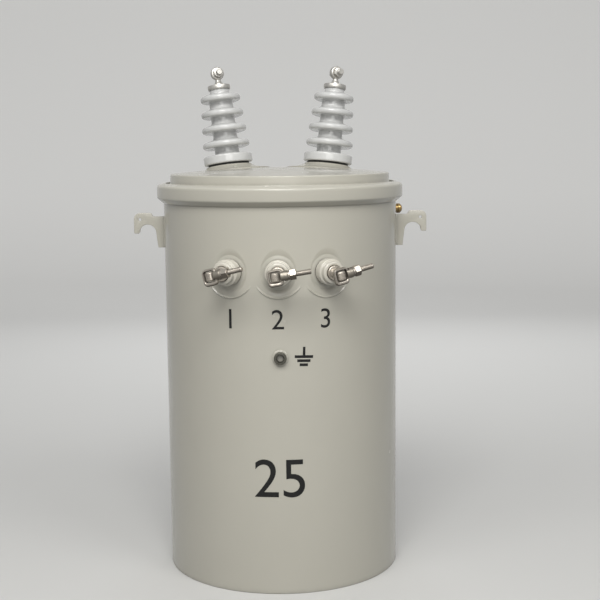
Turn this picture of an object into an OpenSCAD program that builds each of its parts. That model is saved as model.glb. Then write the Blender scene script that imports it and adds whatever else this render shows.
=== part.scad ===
// Single-phase oil-filled transformer that hangs on a pole. Millimetres, +Z up,
// origin at the centre of the foot. The low-voltage side faces -Y, the pole +Y.
// Angles round the tank are measured from the front, positive to the right.

/* [Tank] */
// Outer diameter of the tank
tank_d = 460; // [420:1:520]
// Height of the tank's rim, where the cover's seal lies
tank_h = 752; // [700:1:860]
// Thickness of the tank's wall
wall_t = 3; // [2:0.5:5]
// Height of the upright edge of the tank's rim
rim_h = 14; // [8:0.5:18]
// Height of the flare that carries the rim out from the wall
rim_flare = 8.5; // [6:0.5:14]
// How far the rim stands out from the wall
rim_out = 10; // [7:0.5:13]
// Thickness of the bottom plate
bottom_t = 5; // [3:0.5:10]
// Height of the bottom plate above the foot of the wall
bottom_lift = 14; // [5:1:30]

/* [Cover] */
// Thickness of the seal between the rim and the cover
seal_t = 3; // [2:0.5:6]
// Height of the cover's rim
cover_rim_h = 8; // [7:0.5:12]
// Height of the cover's shoulder above its rim
shoulder_h = 20; // [14:1:40]
// Inset of the cover's shoulder from the tank's outer face
shoulder_in = 13.5; // [8:0.5:20]
// Radius of the rounded edge of the shoulder
shoulder_r = 6; // [3:0.5:8]
// Rise of the dome above the shoulder
dome_rise = 11; // [6:0.5:20]
// Thickness of the cover's sheet
cover_t = 3; // [2:0.5:4]
// Turn of the cover and its bushings on the tank, to the right
cover_turn = 2.25; // [-4:0.25:4]

/* [Clamp band] */
// Thickness of the band
band_t = 2.5; // [2:0.5:4]
// Radius of the band's rounded upper edge
band_r = 6; // [5:0.5:8]
// Radius of the band's rounded lower edge
band_foot_r = 5; // [4.5:0.5:8]
// Slope of the band's top towards its upper edge
band_slope = 17; // [5:1:20]
// Width of that slope, from the rims' outer face
band_slope_w = 12; // [8:0.5:12]
// How far the band's upper lip reaches in over the cover's rim
band_lip = 14; // [9:0.5:16]
// Gap between the end of the band's lower leg and the wall
band_leg_gap = 1.5; // [0.5:0.5:4]
// Angle round the tank of the band's joint
band_joint_at = -150; // [-165:1:-120]
// Width of the gap in the band at its joint
band_gap = 16; // [8:1:24]
// Diameter of the bolt that closes the band
band_bolt_d = 10; // [8:1:12]
// Length of that bolt's shank
band_bolt_l = 70; // [60:1:90]
// Width over flats of that bolt's head and nut
band_bolt_flats = 16; // [13:1:18]

/* [High-voltage bushings] */
// Distance of the bushings from the tank's axis
hv_radius = 144; // [130:1:150]
// Angle round the cover of the right bushing, with the left one opposite
hv_at = 135; // [120:1:145]
// Outward tilt of the bushings
hv_tilt = 9; // [5:0.5:12]
// Height of the raised seats above the dome's crown, at their middle
hv_seat_rise = 1.5; // [0:0.5:8]
// Diameter of the raised seats
hv_seat_d = 94; // [90:1:104]
// Spread of the hollow skirt that leads from a seat down to the dome
hv_skirt = 10; // [6:1:12]
// Height of that skirt
hv_skirt_h = 12; // [10:1:15]
// Thickness of the seal under a bushing
hv_seal_t = 4; // [2:0.5:6]
// Diameter of the seal under a bushing
hv_seal_d = 84; // [76:1:90]
// Diameter of a bushing's base ring
hv_base_d = 100; // [94:1:104]
// Height of a bushing's base ring
hv_base_h = 18; // [14:1:24]
// Diameter of the porcelain core at its foot
hv_core_d = 51; // [44:1:56]
// Diameter of the porcelain core at its top
hv_core_top_d = 47; // [42:1:50]
// Number of sheds
hv_sheds = 4; // [3:1:5]
// Spacing of the sheds
hv_pitch = 31.5; // [28:0.5:36]
// Diameter of the lowest shed
hv_shed_d = 97; // [88:1:100]
// How much smaller each shed is than the one below
hv_shed_step = 5; // [2:0.5:6]
// Thickness of a shed's rounded rim
hv_shed_t = 12.5; // [9:0.5:14]
// Drop of a shed's rim below its root
hv_shed_drop = 3; // [1:0.5:5]
// Height of the lowest shed's rim above the base ring
hv_shed_lift = 21; // [19:0.5:26]
// Radius of the hollow between the core and a shed's underside
hv_cove = 4; // [2:0.5:5]
// Height of the metal cap's foot above the top shed's rim
hv_cap_lift = 19.5; // [18:0.5:24]
// Diameter of the hole in the cover for a bushing
hv_hole_d = 42; // [38:1:46]
// Clearance of a bushing's neck in that hole
hv_hole_gap = 1; // [0.5:0.5:2]
// Diameter of the metal cap
hv_cap_d = 46; // [42:1:50]
// Thickness of the metal cap
hv_cap_t = 10; // [7:1:14]
// Diameter of the terminal's neck under the eye
hv_neck_d = 9; // [8:1:13]
// Diameter of the neck's foot on the cap
hv_neck_foot_d = 17; // [15:1:22]
// Outer diameter of the terminal's eye
hv_eye_d = 27; // [25:1:32]
// Diameter of the hole in the eye
hv_eye_hole = 13.5; // [12.5:0.5:15]
// Thickness of the eye
hv_eye_t = 12; // [8:1:16]
// Height of the eye's middle above the cap
hv_eye_lift = 24; // [22:1:32]
// Diameter of the bolt through the eye
hv_bolt_d = 12; // [8:1:12]
// Width over flats of that bolt's head and nut
hv_bolt_flats = 18; // [17:1:20]
// Length that the bolt stands past its nut
hv_bolt_end = 10; // [4:1:16]

/* [Low-voltage bushings] */
// Distance of the low-voltage bushings below the tank's rim
lv_drop = 144; // [128:1:190]
// Angle round the tank between the bushings
lv_step = 23; // [20:0.5:28]
// Angle round the tank of the middle low-voltage bushing
lv_middle_at = -0.5; // [-3:0.5:3]
// Diameter of the flat seats pressed into the wall
lv_seat_d = 63; // [62:1:68]
// Slope of the edge that leads from a seat up to the wall
lv_seat_slope = 8; // [7:1:15]
// Diameter of the holes in the seats
lv_hole_d = 34; // [28:1:40]
// Clearance of a bushing's neck in its hole
lv_hole_gap = 1; // [0.5:0.5:2]
// Thickness of the seal under a bushing
lv_seal_t = 3; // [2:0.5:5]
// Diameter of the porcelain's wide foot
lv_flange_d = 49; // [47:1:60]
// Length of the porcelain's wide foot
lv_flange_t = 19; // [15:1:22]
// Diameter of the porcelain nose
lv_nose_d = 41; // [40:1:44]
// Length of the nose past the wide foot
lv_nose_h = 11; // [8:1:18]
// Diameter of the stud's shaft
lv_stud_d = 18; // [14:1:20]
// Diameter of the round collar at the stud's foot
lv_collar_d = 27; // [22:1:27]
// Length of the collar past the porcelain nose
lv_collar_l = 4; // [2:0.5:10]
// Depth of the recess in the nose, where the collar sits
lv_recess = 3; // [2:0.5:6]
// Clearance round the collar in that recess
lv_recess_gap = 1; // [0.5:0.5:2]
// Distance of the clamp's middle from the porcelain nose
lv_reach = 37; // [33:1:50]
// Diameter of the upright drum on the end of the stud
lv_drum_d = 18; // [16:1:18]
// Height of the drum
lv_drum_h = 17; // [14:1:22]
// Clearance between the drum and the eye
lv_eye_gap = 1.2; // [0.5:0.1:1.5]
// Clearance above and below the drum in the eye
lv_eye_slot = 0.8; // [0.5:0.1:3]
// Width of the eye's metal at its sides
lv_eye_side = 4; // [3:0.5:5]
// Width of the eye's metal at its top
lv_eye_top = 4.5; // [3:0.5:8]
// Width of the eye's metal at its bottom
lv_eye_foot = 8; // [4:0.5:12]
// Depth of the eye
lv_eye_t = 11; // [8:1:12]
// Distance of the drum and its eye to the left of the stud's axis
lv_drum_shift = 4; // [0:0.5:5]
// Diameter of the stud's neck behind the drum
lv_neck_d = 11; // [8:0.5:11]
// Diameter of the eyebolt's shank
lv_shank_d = 9.5; // [8:0.5:11]
// Reach of the shank's end from the stud's axis
lv_shank_end = 61; // [50:1:70]
// Distance of the nut from the stud's axis
lv_nut_at = 19; // [18:0.5:24]
// Width over flats of the nut
lv_nut_flats = 18; // [16:1:20]
// Length of the nut
lv_nut_l = 14.5; // [10:0.5:18]
// Thickness of the saddle between its slot and the nut
lv_saddle_t = 7; // [4:0.5:8]
// Diameter of the saddle
lv_saddle_d = 19; // [17:0.5:22]
// Upward turn of the left, middle and right eyebolts
lv_turns = [14, 9, 13]; // [0:1:30]

/* [Fittings] */
// Distance of the ground boss below the low-voltage bushings
ground_drop = 157; // [110:1:230]
// Diameter of the welded pad behind the ground boss
ground_pad_d = 28; // [24:1:40]
// Thickness of that pad
ground_pad_t = 3; // [2:0.5:5]
// Diameter of the ground boss
ground_boss_d = 23.5; // [20:0.5:23.5]
// Length of the ground boss outside the wall
ground_boss_l = 9; // [6:1:20]
// Diameter of the tapped hole in the ground boss
ground_hole_d = 12.7; // [10:0.1:14]
// Distance of the relief valve below the tank's rim
relief_drop = 46; // [43:1:60]
// Angle round the tank of the relief valve
relief_at = 108; // [100:1:120]
// Diameter of the relief valve's threaded end
relief_thread_d = 14; // [12:1:18]
// Width over flats of the relief valve
relief_flats = 20; // [17:1:26]
// Length of the relief valve outside the wall
relief_l = 31; // [26:1:44]
// Thickness of the lifting lugs
lug_t = 8; // [6:1:12]
// Distance of the lifting lugs' top edge below the tank's rim
lug_drop = 46; // [36:1:72]
// Reach of the lifting lugs from the wall
lug_reach = 61.5; // [50:0.5:70]
// Height of a lifting lug from its foot to its top edge
lug_h = 69; // [60:1:90]
// Width of a lug's hook tip
lug_bar = 10.5; // [9:0.5:14]
// Width of a lug's stem at its foot
lug_stem = 14; // [11:0.5:18]
// Height of the bar over a lug's opening
lug_crown = 23; // [18:1:26]
// Height of a lug's hook tip from its top edge
lug_tip = 41; // [38:1:50]
// Diameter of the small hole in a lug
lug_hole_d = 6; // [4:0.5:8]

/* [Pole brackets] */
// Distance of the upper pole bracket's bolt below the tank's rim
hanger_drop = 140; // [110:1:190]
// Spacing of the two pole brackets' bolts
hanger_spacing = 285.75; // [280:0.25:600]
// Width of the pole brackets
hanger_w = 102; // [80:1:130]
// Height of the pole brackets
hanger_h = 90; // [70:1:110]
// Distance of the brackets' back face from the wall
hanger_out = 70; // [35:1:90]
// Thickness of the brackets' plate
hanger_t = 6; // [5:0.5:10]
// Width of the slot for the pole bolt
hanger_slot_w = 17.5; // [14:0.5:22]
// Length of that slot between its end centres
hanger_slot_l = 22; // [10:1:30]

/* [Inside] */
// Width of the core and coils
core_w = 300; // [240:1:320]
// Depth of the core and coils
core_d = 230; // [180:1:240]
// Height of the core and coils
core_h = 380; // [300:1:420]

/* [Hidden] */
$fn = 64;

// Colours
paint = [0.71, 0.70, 0.65];
seal_black = [0.10, 0.10, 0.10];
hv_glaze = [0.77, 0.77, 0.76];
lv_glaze = [0.86, 0.84, 0.78];
tinned = [0.75, 0.74, 0.71];
brass = [0.80, 0.62, 0.28];

// A small overlap that makes a cut pass cleanly through a face
cut = 1;
// Clearance between pieces that only lie beside each other
slack = 0.3;
// How much wider a bolt's hole is than the bolt
bolt_play = 1;
// Steps of the small rounded edges
arc_steps = 6;

// The tank and its cover
tank_r = tank_d / 2;
rim_r = tank_r + rim_out;
seal_z = tank_h;
cover_z = seal_z + seal_t;
cover_rim_top = cover_z + cover_rim_h;
shoulder_rad = tank_r - shoulder_in;
shoulder_top = cover_rim_top + shoulder_h;
crown = shoulder_top + dome_rise;
dome_rad = shoulder_rad - shoulder_r;
dome_sphere = (dome_rad * dome_rad + dome_rise * dome_rise) / (2 * dome_rise);
dome_half = asin(dome_rad / dome_sphere);
dome_steps = 12;
seal_inset = 2;
shoulder_steps = 6;

// The clamp band, which wraps both rims
band_in = rim_r + slack;
band_out = band_in + band_t;
band_high = cover_rim_top + slack + band_t;
band_leg_end = tank_r + band_leg_gap;
ear_t = 8;
ear_h = 15;
ear_out = 30;
ear_inset = 2;
band_knee = rim_r - band_slope_w;
band_edge = band_out - band_r;
band_edge_z = band_high - (band_edge - band_knee) * tan(band_slope) - band_r / cos(band_slope);
band_turn = 90 - atan(rim_flare / rim_out);
band_foot_z = leg_z(band_out, 0) + band_foot_r * tan(band_turn / 2);
ear_z = (band_foot_z + band_edge_z) / 2;
band_tall = band_high - leg_z(band_leg_end, 0);
// Inset of the rims' own outline from the band's outer one
rim_inset = band_t + slack;

// The high-voltage bushings, along their own axis from the seat
hv_seat_z = crown + hv_seat_rise;
hv_base_z = hv_seal_t;
hv_base_edge = 3;
hv_core_flare = 5;
hv_core_flare_h = 4;
hv_first_shed = hv_base_z + hv_base_h + hv_shed_lift;
hv_shed_root = 3;
hv_collar_h = 8;
hv_collar_in = 3;
hv_cap_z = hv_first_shed + (hv_sheds - 1) * hv_pitch + hv_cap_lift;
hv_cap_edge = 1.5;
hv_spigot = 26;
hv_seat_steps = 6;
hv_neck_foot_h = 3;
hv_turns = [16, 24];

// The low-voltage bushings, outward from their seats
lv_height = tank_h - lv_drop;
lv_seat_r = sqrt(tank_r * tank_r - lv_seat_d * lv_seat_d / 4);
lv_nose_z = lv_seal_t + lv_flange_t + lv_nose_h;
lv_drum_z = lv_nose_z + lv_reach;
lv_eye_in = lv_drum_d / 2 + lv_eye_gap;
lv_eye_out = lv_eye_in + lv_eye_side;
lv_drum_edge = 2.5;
lv_eye_half = lv_drum_h / 2 + lv_eye_slot;
lv_spigot = 20;
lv_flange_edge = 2.5;
lv_nose_edge = 5;
lv_seal_inset = 1;
lv_thread_gap = 0.1;

// Heights of the fittings on the tank's wall
ground_height = lv_height - ground_drop;
relief_height = tank_h - relief_drop;
relief_hex_at = 4;
relief_hex_l = 12;
relief_cap_l = 10;
relief_cap_edge = 4;
relief_waist = 3;
lug_top = tank_h - lug_drop;
lug_corner = 12;
lug_step = 7;
lug_step_at = 27;
lug_flare = 3.5;
hanger_upper_height = tank_h - hanger_drop;
core_step = 50;
core_shoulder = 30;

// Places things at an angle round the tank. Local +X points outward and +Y
// to the right of someone who looks at the tank there.
module round_tank(angle, radius, height) {
    rotate([0, 0, angle - 90]) translate([radius, 0, height]) children();
}

// A hexagonal prism along +Z that starts at the origin
module hex(flats, length) {
    cylinder(d = flats / cos(30), h = length, $fn = 6);
}

// Turns something built along +Z so that it points outward
module outward() {
    rotate([0, 90, 0]) children();
}

// A flat-ended ring along +Z
module ring(outer, inner, height) {
    difference() {
        cylinder(r = outer, h = height);
        translate([0, 0, -cut]) cylinder(r = inner, h = height + 2 * cut);
    }
}

// Points of an arc round a centre
function arc_points(centre, radius, from, to) = [for (i = [0:arc_steps])
    let (a = from + (to - from) * i / arc_steps)
    centre + radius * [cos(a), sin(a)]];

// Tank: a rolled shell with a flared rim, and flat seats pressed into its front
module tank_wall() color(paint) {
    difference() {
        union() {
            cylinder(r = tank_r, h = tank_h, $fn = 128);
            rotate_extrude($fn = 128) tank_rim();
        }
        difference() {
            translate([0, 0, -cut]) cylinder(r = tank_r - wall_t, h = tank_h + 2 * cut, $fn = 128);
            for (i = [-1:1]) lv_place(i) outward() translate([0, 0, -wall_t])
                seat_cone(lv_seat_d / 2 + wall_t * tan(lv_seat_slope / 2), tank_r - lv_seat_r + wall_t);
        }
        for (i = [-1:1]) lv_place(i) outward() seat_cone(lv_seat_d / 2, tank_r - lv_seat_r + cut);
        for (i = [-1:1]) lv_place(i) outward() translate([0, 0, -wall_t - cut])
            cylinder(d = lv_hole_d, h = wall_t + 2 * cut);
        round_tank(relief_at, tank_r, relief_height) outward() translate([0, 0, -2 * wall_t])
            cylinder(d = relief_thread_d + 2 * slack, h = 3 * wall_t);
    }
}

// A disc whose edge widens upward with the slope of the seats' edges
module seat_cone(radius, height) {
    cylinder(r1 = radius, r2 = radius + height / tan(lv_seat_slope), h = height, $fn = 96);
}

// Section of the tank's rim, from the wall out
module tank_rim() {
    inner = tank_r - wall_t / 2;
    polygon(concat([[inner, tank_h], [rim_r, tank_h]], lower_line(rim_inset, tank_r),
        [[inner, leg_z(tank_r, rim_inset)]]));
}

// Section of the cover's rim, whose sloped and rounded top the band lies on
module cover_rim() {
    inner = shoulder_rad - cover_t;
    polygon(concat([[inner, cover_z], [inner, cover_rim_top]], upper_line(rim_inset), [[rim_r, cover_z]]));
}

module tank_bottom() color(paint) {
    translate([0, 0, bottom_lift]) cylinder(r = tank_r - wall_t, h = bottom_t, $fn = 128);
}

// Cover: rim, shoulder and dome, with a raised tilted seat for each bushing
module cover() color(paint) {
    difference() {
        union() {
            rotate_extrude($fn = 128) cover_rim();
            rotate_extrude($fn = 128) cover_section(0);
            for (side = [-1, 1]) hv_place(side) hv_seat(0);
        }
        translate([0, 0, -cut]) rotate_extrude($fn = 128) cover_section(cover_t);
        rotate_extrude($fn = 128) cover_section(cover_t);
        for (side = [-1, 1]) hv_place(side) hv_seat(cover_t);
        for (side = [-1, 1]) hv_place(side) translate([0, 0, -hv_spigot])
            cylinder(d = hv_hole_d, h = hv_spigot + cut);
    }
}

// Points of the dome from its crown outward, shrunk by an inset
function dome_arc(inset) = [for (i = [0:dome_steps])
    let (a = dome_half * i / dome_steps)
    [(dome_sphere - inset) * sin(a), crown - dome_sphere + (dome_sphere - inset) * cos(a)]];

// Points of the rounded edge between the dome and the shoulder
function shoulder_arc(inset) = [for (i = [0:shoulder_steps])
    let (a = dome_half + (90 - dome_half) * (i + 1) / (shoulder_steps + 1))
    [dome_rad + (shoulder_r - inset) * sin(a), shoulder_top - shoulder_r + (shoulder_r - inset) * cos(a)]];

// Filled section of the cover down to its seal, shrunk by an inset
module cover_section(inset) {
    polygon(concat([[0, cover_z]], dome_arc(inset), shoulder_arc(inset), [[shoulder_rad - inset, cover_z]]));
}

// A raised seat with its hollow skirt, measured down from its own face,
// shrunk by an inset
module hv_seat(inset) {
    edge = hv_seat_d / 2 - inset;
    foot = -2 * hv_skirt_h - inset;
    rotate_extrude() polygon(concat([[0, foot], [0, -inset]], [for (i = [0:hv_seat_steps])
        let (a = 90 * i / hv_seat_steps)
        [edge + hv_skirt * (1 - cos(a)), -inset - hv_skirt_h * sin(a)]], [[edge + hv_skirt, foot]]));
}

module cover_seal() color(seal_black) {
    translate([0, 0, seal_z]) ring(rim_r - seal_inset, tank_r - wall_t + seal_inset, seal_t);
}

// Height on the band's lower leg at a radius, shrunk by an inset. The leg lies
// along the flare of the tank's rim.
function leg_z(radius, inset) = tank_h - rim_h + (radius - rim_r) * rim_flare / rim_out
    - (slack + band_t - inset) * norm([rim_out, rim_flare]) / rim_out;

// The band's top, shrunk by an inset: from its flat over the slope to the edge
function upper_line(inset) = concat([[band_knee - inset * tan(band_slope / 2), band_high - inset]],
    arc_points([band_edge, band_edge_z], band_r - inset, 90 - band_slope, 0));

// The band's lower edge and leg, shrunk by an inset, inward to a radius
function lower_line(inset, end) = concat(
    arc_points([band_out - band_foot_r, band_foot_z], band_foot_r - inset, 0, -band_turn),
    [[end, leg_z(end, inset)]]);

// Clamp band: a channel that holds both rims together, open at its joint
module clamp_band() color(paint) {
    difference() {
        rotate_extrude($fn = 128) difference() {
            band_outline(0, 0);
            band_outline(band_t, cut);
        }
        round_tank(band_joint_at, rim_r - band_lip - cut, leg_z(band_leg_end, 0) - cut)
            translate([0, -band_gap / 2, 0]) cube([band_lip + ear_out, band_gap, band_tall + 2 * cut]);
    }
    for (side = [-1, 1]) round_tank(band_joint_at, 0, ear_z) band_ear(side);
}

// The band's outline, shrunk by an inset and with its inner ends moved in
module band_outline(inset, longer) {
    lip_end = rim_r - band_lip - longer;
    leg_end = band_leg_end - longer;
    polygon(concat([[lip_end, tank_h], [lip_end, band_high - inset]], upper_line(inset),
        lower_line(inset, leg_end), [[leg_end, tank_h]]));
}

// An ear of the band, on one side of the joint, with its bolt hole
module band_ear(side) {
    near = band_gap / 2 + ear_inset;
    root = band_out - band_t / 2;
    difference() {
        translate([root, side > 0 ? near : -near - ear_t, -ear_h / 2]) cube([ear_out, ear_t, ear_h]);
        translate([band_out + ear_out / 2, side > 0 ? near - cut : -near - ear_t - cut, 0])
            rotate([-90, 0, 0]) cylinder(d = band_bolt_d + bolt_play, h = ear_t + 2 * cut);
    }
}

module band_bolt() color(tinned) {
    head = 7;
    nut = 8;
    reach = band_gap / 2 + ear_inset + ear_t;
    round_tank(band_joint_at, band_out + ear_out / 2, ear_z) {
        translate([0, -reach - head, 0]) rotate([-90, 0, 0]) hex(band_bolt_flats, head);
        translate([0, -reach, 0]) rotate([-90, 0, 0]) cylinder(d = band_bolt_d, h = band_bolt_l);
        translate([0, reach, 0]) rotate([-90, 0, 0]) hex(band_bolt_flats, nut);
    }
}

// High-voltage bushings
module hv_place(side) {
    round_tank(cover_turn + side * hv_at, hv_radius, hv_seat_z) rotate([0, hv_tilt, 0]) children();
}

module hv_seal() color(seal_black) {
    ring(hv_seal_d / 2, hv_hole_d / 2, hv_seal_t);
}

// Radius of a shed's rim, counted from the lowest
function shed_radius(i) = hv_shed_d / 2 - i * hv_shed_step / 2;

// Radius of the porcelain core at a height above the seat
function core_radius(z) = (hv_core_d + (hv_core_top_d - hv_core_d) * z / hv_cap_z) / 2;

module hv_porcelain() color(hv_glaze) {
    translate([0, 0, -hv_spigot]) cylinder(d = hv_hole_d - 2 * hv_hole_gap, h = hv_spigot + hv_seal_t + cut);
    rotate_extrude() {
        translate([0, hv_base_z]) square([hv_base_d / 2 - hv_base_edge, hv_base_h]);
        translate([0, hv_base_z + hv_base_edge]) square([hv_base_d / 2, hv_base_h - 2 * hv_base_edge]);
        for (z = [hv_base_z + hv_base_edge, hv_base_z + hv_base_h - hv_base_edge])
            translate([hv_base_d / 2 - hv_base_edge, z]) circle(r = hv_base_edge, $fn = 32);
        translate([0, hv_base_z]) polygon([[0, 0], [hv_core_d / 2, 0],
            [hv_core_top_d / 2, hv_cap_z - hv_base_z], [0, hv_cap_z - hv_base_z]]);
        translate([0, hv_base_z + hv_base_h]) polygon([[0, 0], [hv_core_d / 2 + hv_core_flare, 0],
            [hv_core_d / 2, hv_core_flare_h], [0, hv_core_flare_h]]);
        translate([0, hv_cap_z - hv_collar_h]) square([hv_cap_d / 2 - hv_collar_in, hv_collar_h]);
        for (i = [0:hv_sheds - 1]) translate([0, hv_first_shed + i * hv_pitch]) shed(i);
    }
}

// Section of one shed, counted from the lowest, with its rim's middle at
// height 0: a sloped top, a rounded rim and a hollow under its root
module shed(i) {
    half = hv_shed_t / 2;
    rim = shed_radius(i) - half;
    core = core_radius(hv_first_shed + i * hv_pitch);
    under = hv_shed_drop - half;
    polygon(concat([[0, hv_shed_drop + half + hv_shed_root], [core, hv_shed_drop + half + hv_shed_root],
        [rim, half], [rim, -half]], arc_points([core + hv_cove, under - hv_cove], hv_cove, 90, 180),
        [[0, under - hv_cove]]));
    translate([rim, 0]) circle(r = half, $fn = 32);
}

module hv_cap() color(tinned) {
    translate([0, 0, hv_cap_z]) {
        cylinder(d = hv_cap_d, h = hv_cap_t - hv_cap_edge);
        translate([0, 0, hv_cap_t - hv_cap_edge])
            cylinder(d1 = hv_cap_d, d2 = hv_cap_d - 2 * hv_cap_edge, h = hv_cap_edge);
    }
}

module hv_eye_frame(side) {
    turn = hv_turns[side > 0 ? 1 : 0];
    translate([0, 0, hv_cap_z + hv_cap_t + hv_eye_lift])
        rotate([0, 0, turn - cover_turn - side * hv_at]) outward() children();
}

// Terminal: a tapered neck that ends in an eye
module hv_terminal(side) color(tinned) {
    translate([0, 0, hv_cap_z + hv_cap_t]) {
        cylinder(d = hv_neck_foot_d, h = hv_neck_foot_h);
        translate([0, 0, hv_neck_foot_h]) cylinder(d1 = hv_neck_foot_d, d2 = hv_neck_d,
            h = hv_eye_lift - (hv_eye_d + hv_eye_hole) / 4 - hv_neck_foot_h);
    }
    difference() {
        hv_eye_frame(side) translate([0, 0, -hv_eye_t / 2]) cylinder(d = hv_eye_d, h = hv_eye_t);
        hv_eye_frame(side) translate([0, 0, -hv_eye_t / 2 - cut])
            cylinder(d = hv_eye_hole, h = hv_eye_t + 2 * cut);
    }
}

module hv_bolt(side) color(tinned) {
    nut_l = 9;
    head_l = 7;
    hv_eye_frame(side) {
        translate([0, 0, -hv_eye_t / 2 - head_l]) hex(hv_bolt_flats, head_l);
        translate([0, 0, -hv_eye_t / 2]) cylinder(d = hv_bolt_d, h = hv_eye_t + nut_l + hv_bolt_end);
        translate([0, 0, hv_eye_t / 2]) hex(hv_bolt_flats, nut_l);
    }
}

// Low-voltage bushings
module lv_place(i) {
    round_tank(lv_middle_at + i * lv_step, lv_seat_r, lv_height) children();
}

module lv_seal() color(seal_black) {
    outward() ring(lv_flange_d / 2 - lv_seal_inset, lv_hole_d / 2, lv_seal_t);
}

module lv_porcelain() color(lv_glaze) {
    flange = lv_flange_d / 2 - lv_flange_edge;
    nose = lv_nose_d / 2 - lv_nose_edge;
    outward() difference() {
        union() {
            translate([0, 0, -lv_spigot])
                cylinder(d = lv_hole_d - 2 * lv_hole_gap, h = lv_spigot + lv_seal_t + cut);
            translate([0, 0, lv_seal_t]) rotate_extrude() {
                square([flange, lv_flange_t]);
                square([flange + lv_flange_edge, lv_flange_t - lv_flange_edge]);
                translate([flange, lv_flange_t - lv_flange_edge]) circle(r = lv_flange_edge, $fn = 32);
                square([nose, lv_flange_t + lv_nose_h]);
                square([nose + lv_nose_edge, lv_flange_t + lv_nose_h - lv_nose_edge]);
                translate([nose, lv_flange_t + lv_nose_h - lv_nose_edge]) circle(r = lv_nose_edge, $fn = 32);
            }
        }
        translate([0, 0, lv_nose_z - lv_recess])
            cylinder(d = lv_collar_d + 2 * lv_recess_gap, h = lv_recess + cut);
    }
}

// Stud: collar, shaft and the upright drum that the conductor is clamped to
module lv_stud(i) color(tinned) {
    translate([lv_nose_z - lv_recess, 0, 0]) outward()
        cylinder(d = lv_collar_d, h = lv_recess + lv_collar_l);
    translate([lv_nose_z, 0, 0]) outward()
        cylinder(d = lv_stud_d, h = lv_reach - lv_eye_t / 2 - lv_eye_side);
    translate([lv_nose_z, 0, 0]) outward() cylinder(d = lv_neck_d, h = lv_reach);
    lv_clamp(i) translate([0, -lv_drum_shift, 0]) {
        translate([0, 0, lv_drum_edge - lv_drum_h / 2])
            cylinder(d = lv_drum_d, h = lv_drum_h - 2 * lv_drum_edge);
        for (end = [0, 180]) rotate([end, 0, 0]) translate([0, 0, lv_drum_h / 2 - lv_drum_edge])
            cylinder(r1 = lv_drum_d / 2, r2 = lv_drum_d / 2 - lv_drum_edge, h = lv_drum_edge);
    }
}

// Places the clamp's pieces at the drum, turned with their eyebolt
module lv_clamp(i) {
    translate([lv_drum_z, 0, 0]) rotate([lv_turns[i + 1], 0, 0]) children();
}

// Section of the eye with rounded corners, grown from its inner outline.
// Its +X is the eye's lower end.
module eye_outline(sides, top, foot, corner) {
    across = lv_eye_in + sides;
    high = lv_eye_half + top;
    low = lv_eye_half + foot;
    translate([-high, corner - across]) square([high + low, 2 * (across - corner)]);
    translate([corner - high, -across]) square([high + low - 2 * corner, 2 * across]);
    for (x = [corner - high, low - corner], y = [-1, 1])
        translate([x, y * (across - corner)]) circle(r = corner);
}

// Eyebolt: an eye round the drum and a long shank
module lv_eyebolt(i) color(tinned) {
    lv_clamp(i) {
        difference() {
            translate([-lv_eye_t / 2, -lv_drum_shift, 0]) outward() linear_extrude(height = lv_eye_t)
                eye_outline(lv_eye_side, lv_eye_top, lv_eye_foot, 2 * lv_eye_side);
            translate([-lv_eye_t / 2 - cut, -lv_drum_shift, 0]) outward()
                linear_extrude(height = lv_eye_t + 2 * cut) eye_outline(0, 0, 0, lv_eye_side);
        }
        shank_from = lv_eye_out - lv_drum_shift - lv_eye_side / 2;
        translate([0, shank_from, 0]) rotate([-90, 0, 0])
            cylinder(d = lv_shank_d, h = lv_shank_end - shank_from);
    }
}

// Saddle: a slotted cup that the nut presses against the drum
module lv_saddle(i) color(tinned) {
    half = lv_eye_t / 2 + slack;
    leg_from = max(sqrt(lv_drum_d * lv_drum_d / 4 - half * half) - lv_drum_shift, lv_neck_d / 2) + slack;
    lv_clamp(i) difference() {
        translate([0, leg_from, 0]) rotate([-90, 0, 0]) cylinder(d = lv_saddle_d, h = lv_nut_at - leg_from);
        translate([-half, leg_from - cut, -lv_saddle_d / 2 - cut])
            cube([2 * half, lv_nut_at - leg_from - lv_saddle_t + cut, lv_saddle_d + 2 * cut]);
        translate([0, leg_from, 0]) rotate([-90, 0, 0])
            cylinder(d = lv_shank_d + bolt_play, h = lv_nut_at - leg_from + cut);
    }
}

module lv_nut(i) color(tinned) {
    lv_clamp(i) translate([0, lv_nut_at, 0]) rotate([-90, 0, 0]) difference() {
        hex(lv_nut_flats, lv_nut_l);
        translate([0, 0, -cut]) cylinder(d = lv_shank_d + 2 * lv_thread_gap, h = lv_nut_l + 2 * cut);
    }
}

// Ground boss: a welded pad and a tapped boss
module ground_boss() color(tinned) {
    difference() {
        round_tank(0, tank_r - cut, ground_height) outward() difference() {
            union() {
                cylinder(d = ground_boss_d, h = ground_boss_l + cut);
                cylinder(d = ground_pad_d, h = ground_pad_t + cut);
            }
            cylinder(d = ground_hole_d, h = ground_boss_l + 2 * cut);
        }
        translate([0, 0, ground_height - ground_pad_d])
            cylinder(r = tank_r, h = 2 * ground_pad_d, $fn = 128);
    }
}

module relief_valve() color(brass) {
    round_tank(relief_at, tank_r, relief_height) outward() {
        translate([0, 0, -2 * wall_t]) cylinder(d = relief_thread_d, h = relief_l / 2);
        translate([0, 0, relief_hex_at]) hex(relief_flats, relief_hex_l);
        translate([0, 0, relief_hex_at])
            cylinder(d = relief_flats - relief_waist, h = relief_l - relief_cap_l);
        translate([0, 0, relief_l - relief_cap_l])
            cylinder(d = relief_flats, h = relief_cap_l - relief_cap_edge);
        translate([0, 0, relief_l - relief_cap_edge])
            cylinder(d1 = relief_flats, d2 = relief_flats - 2 * relief_cap_edge, h = relief_cap_edge);
    }
}

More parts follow.
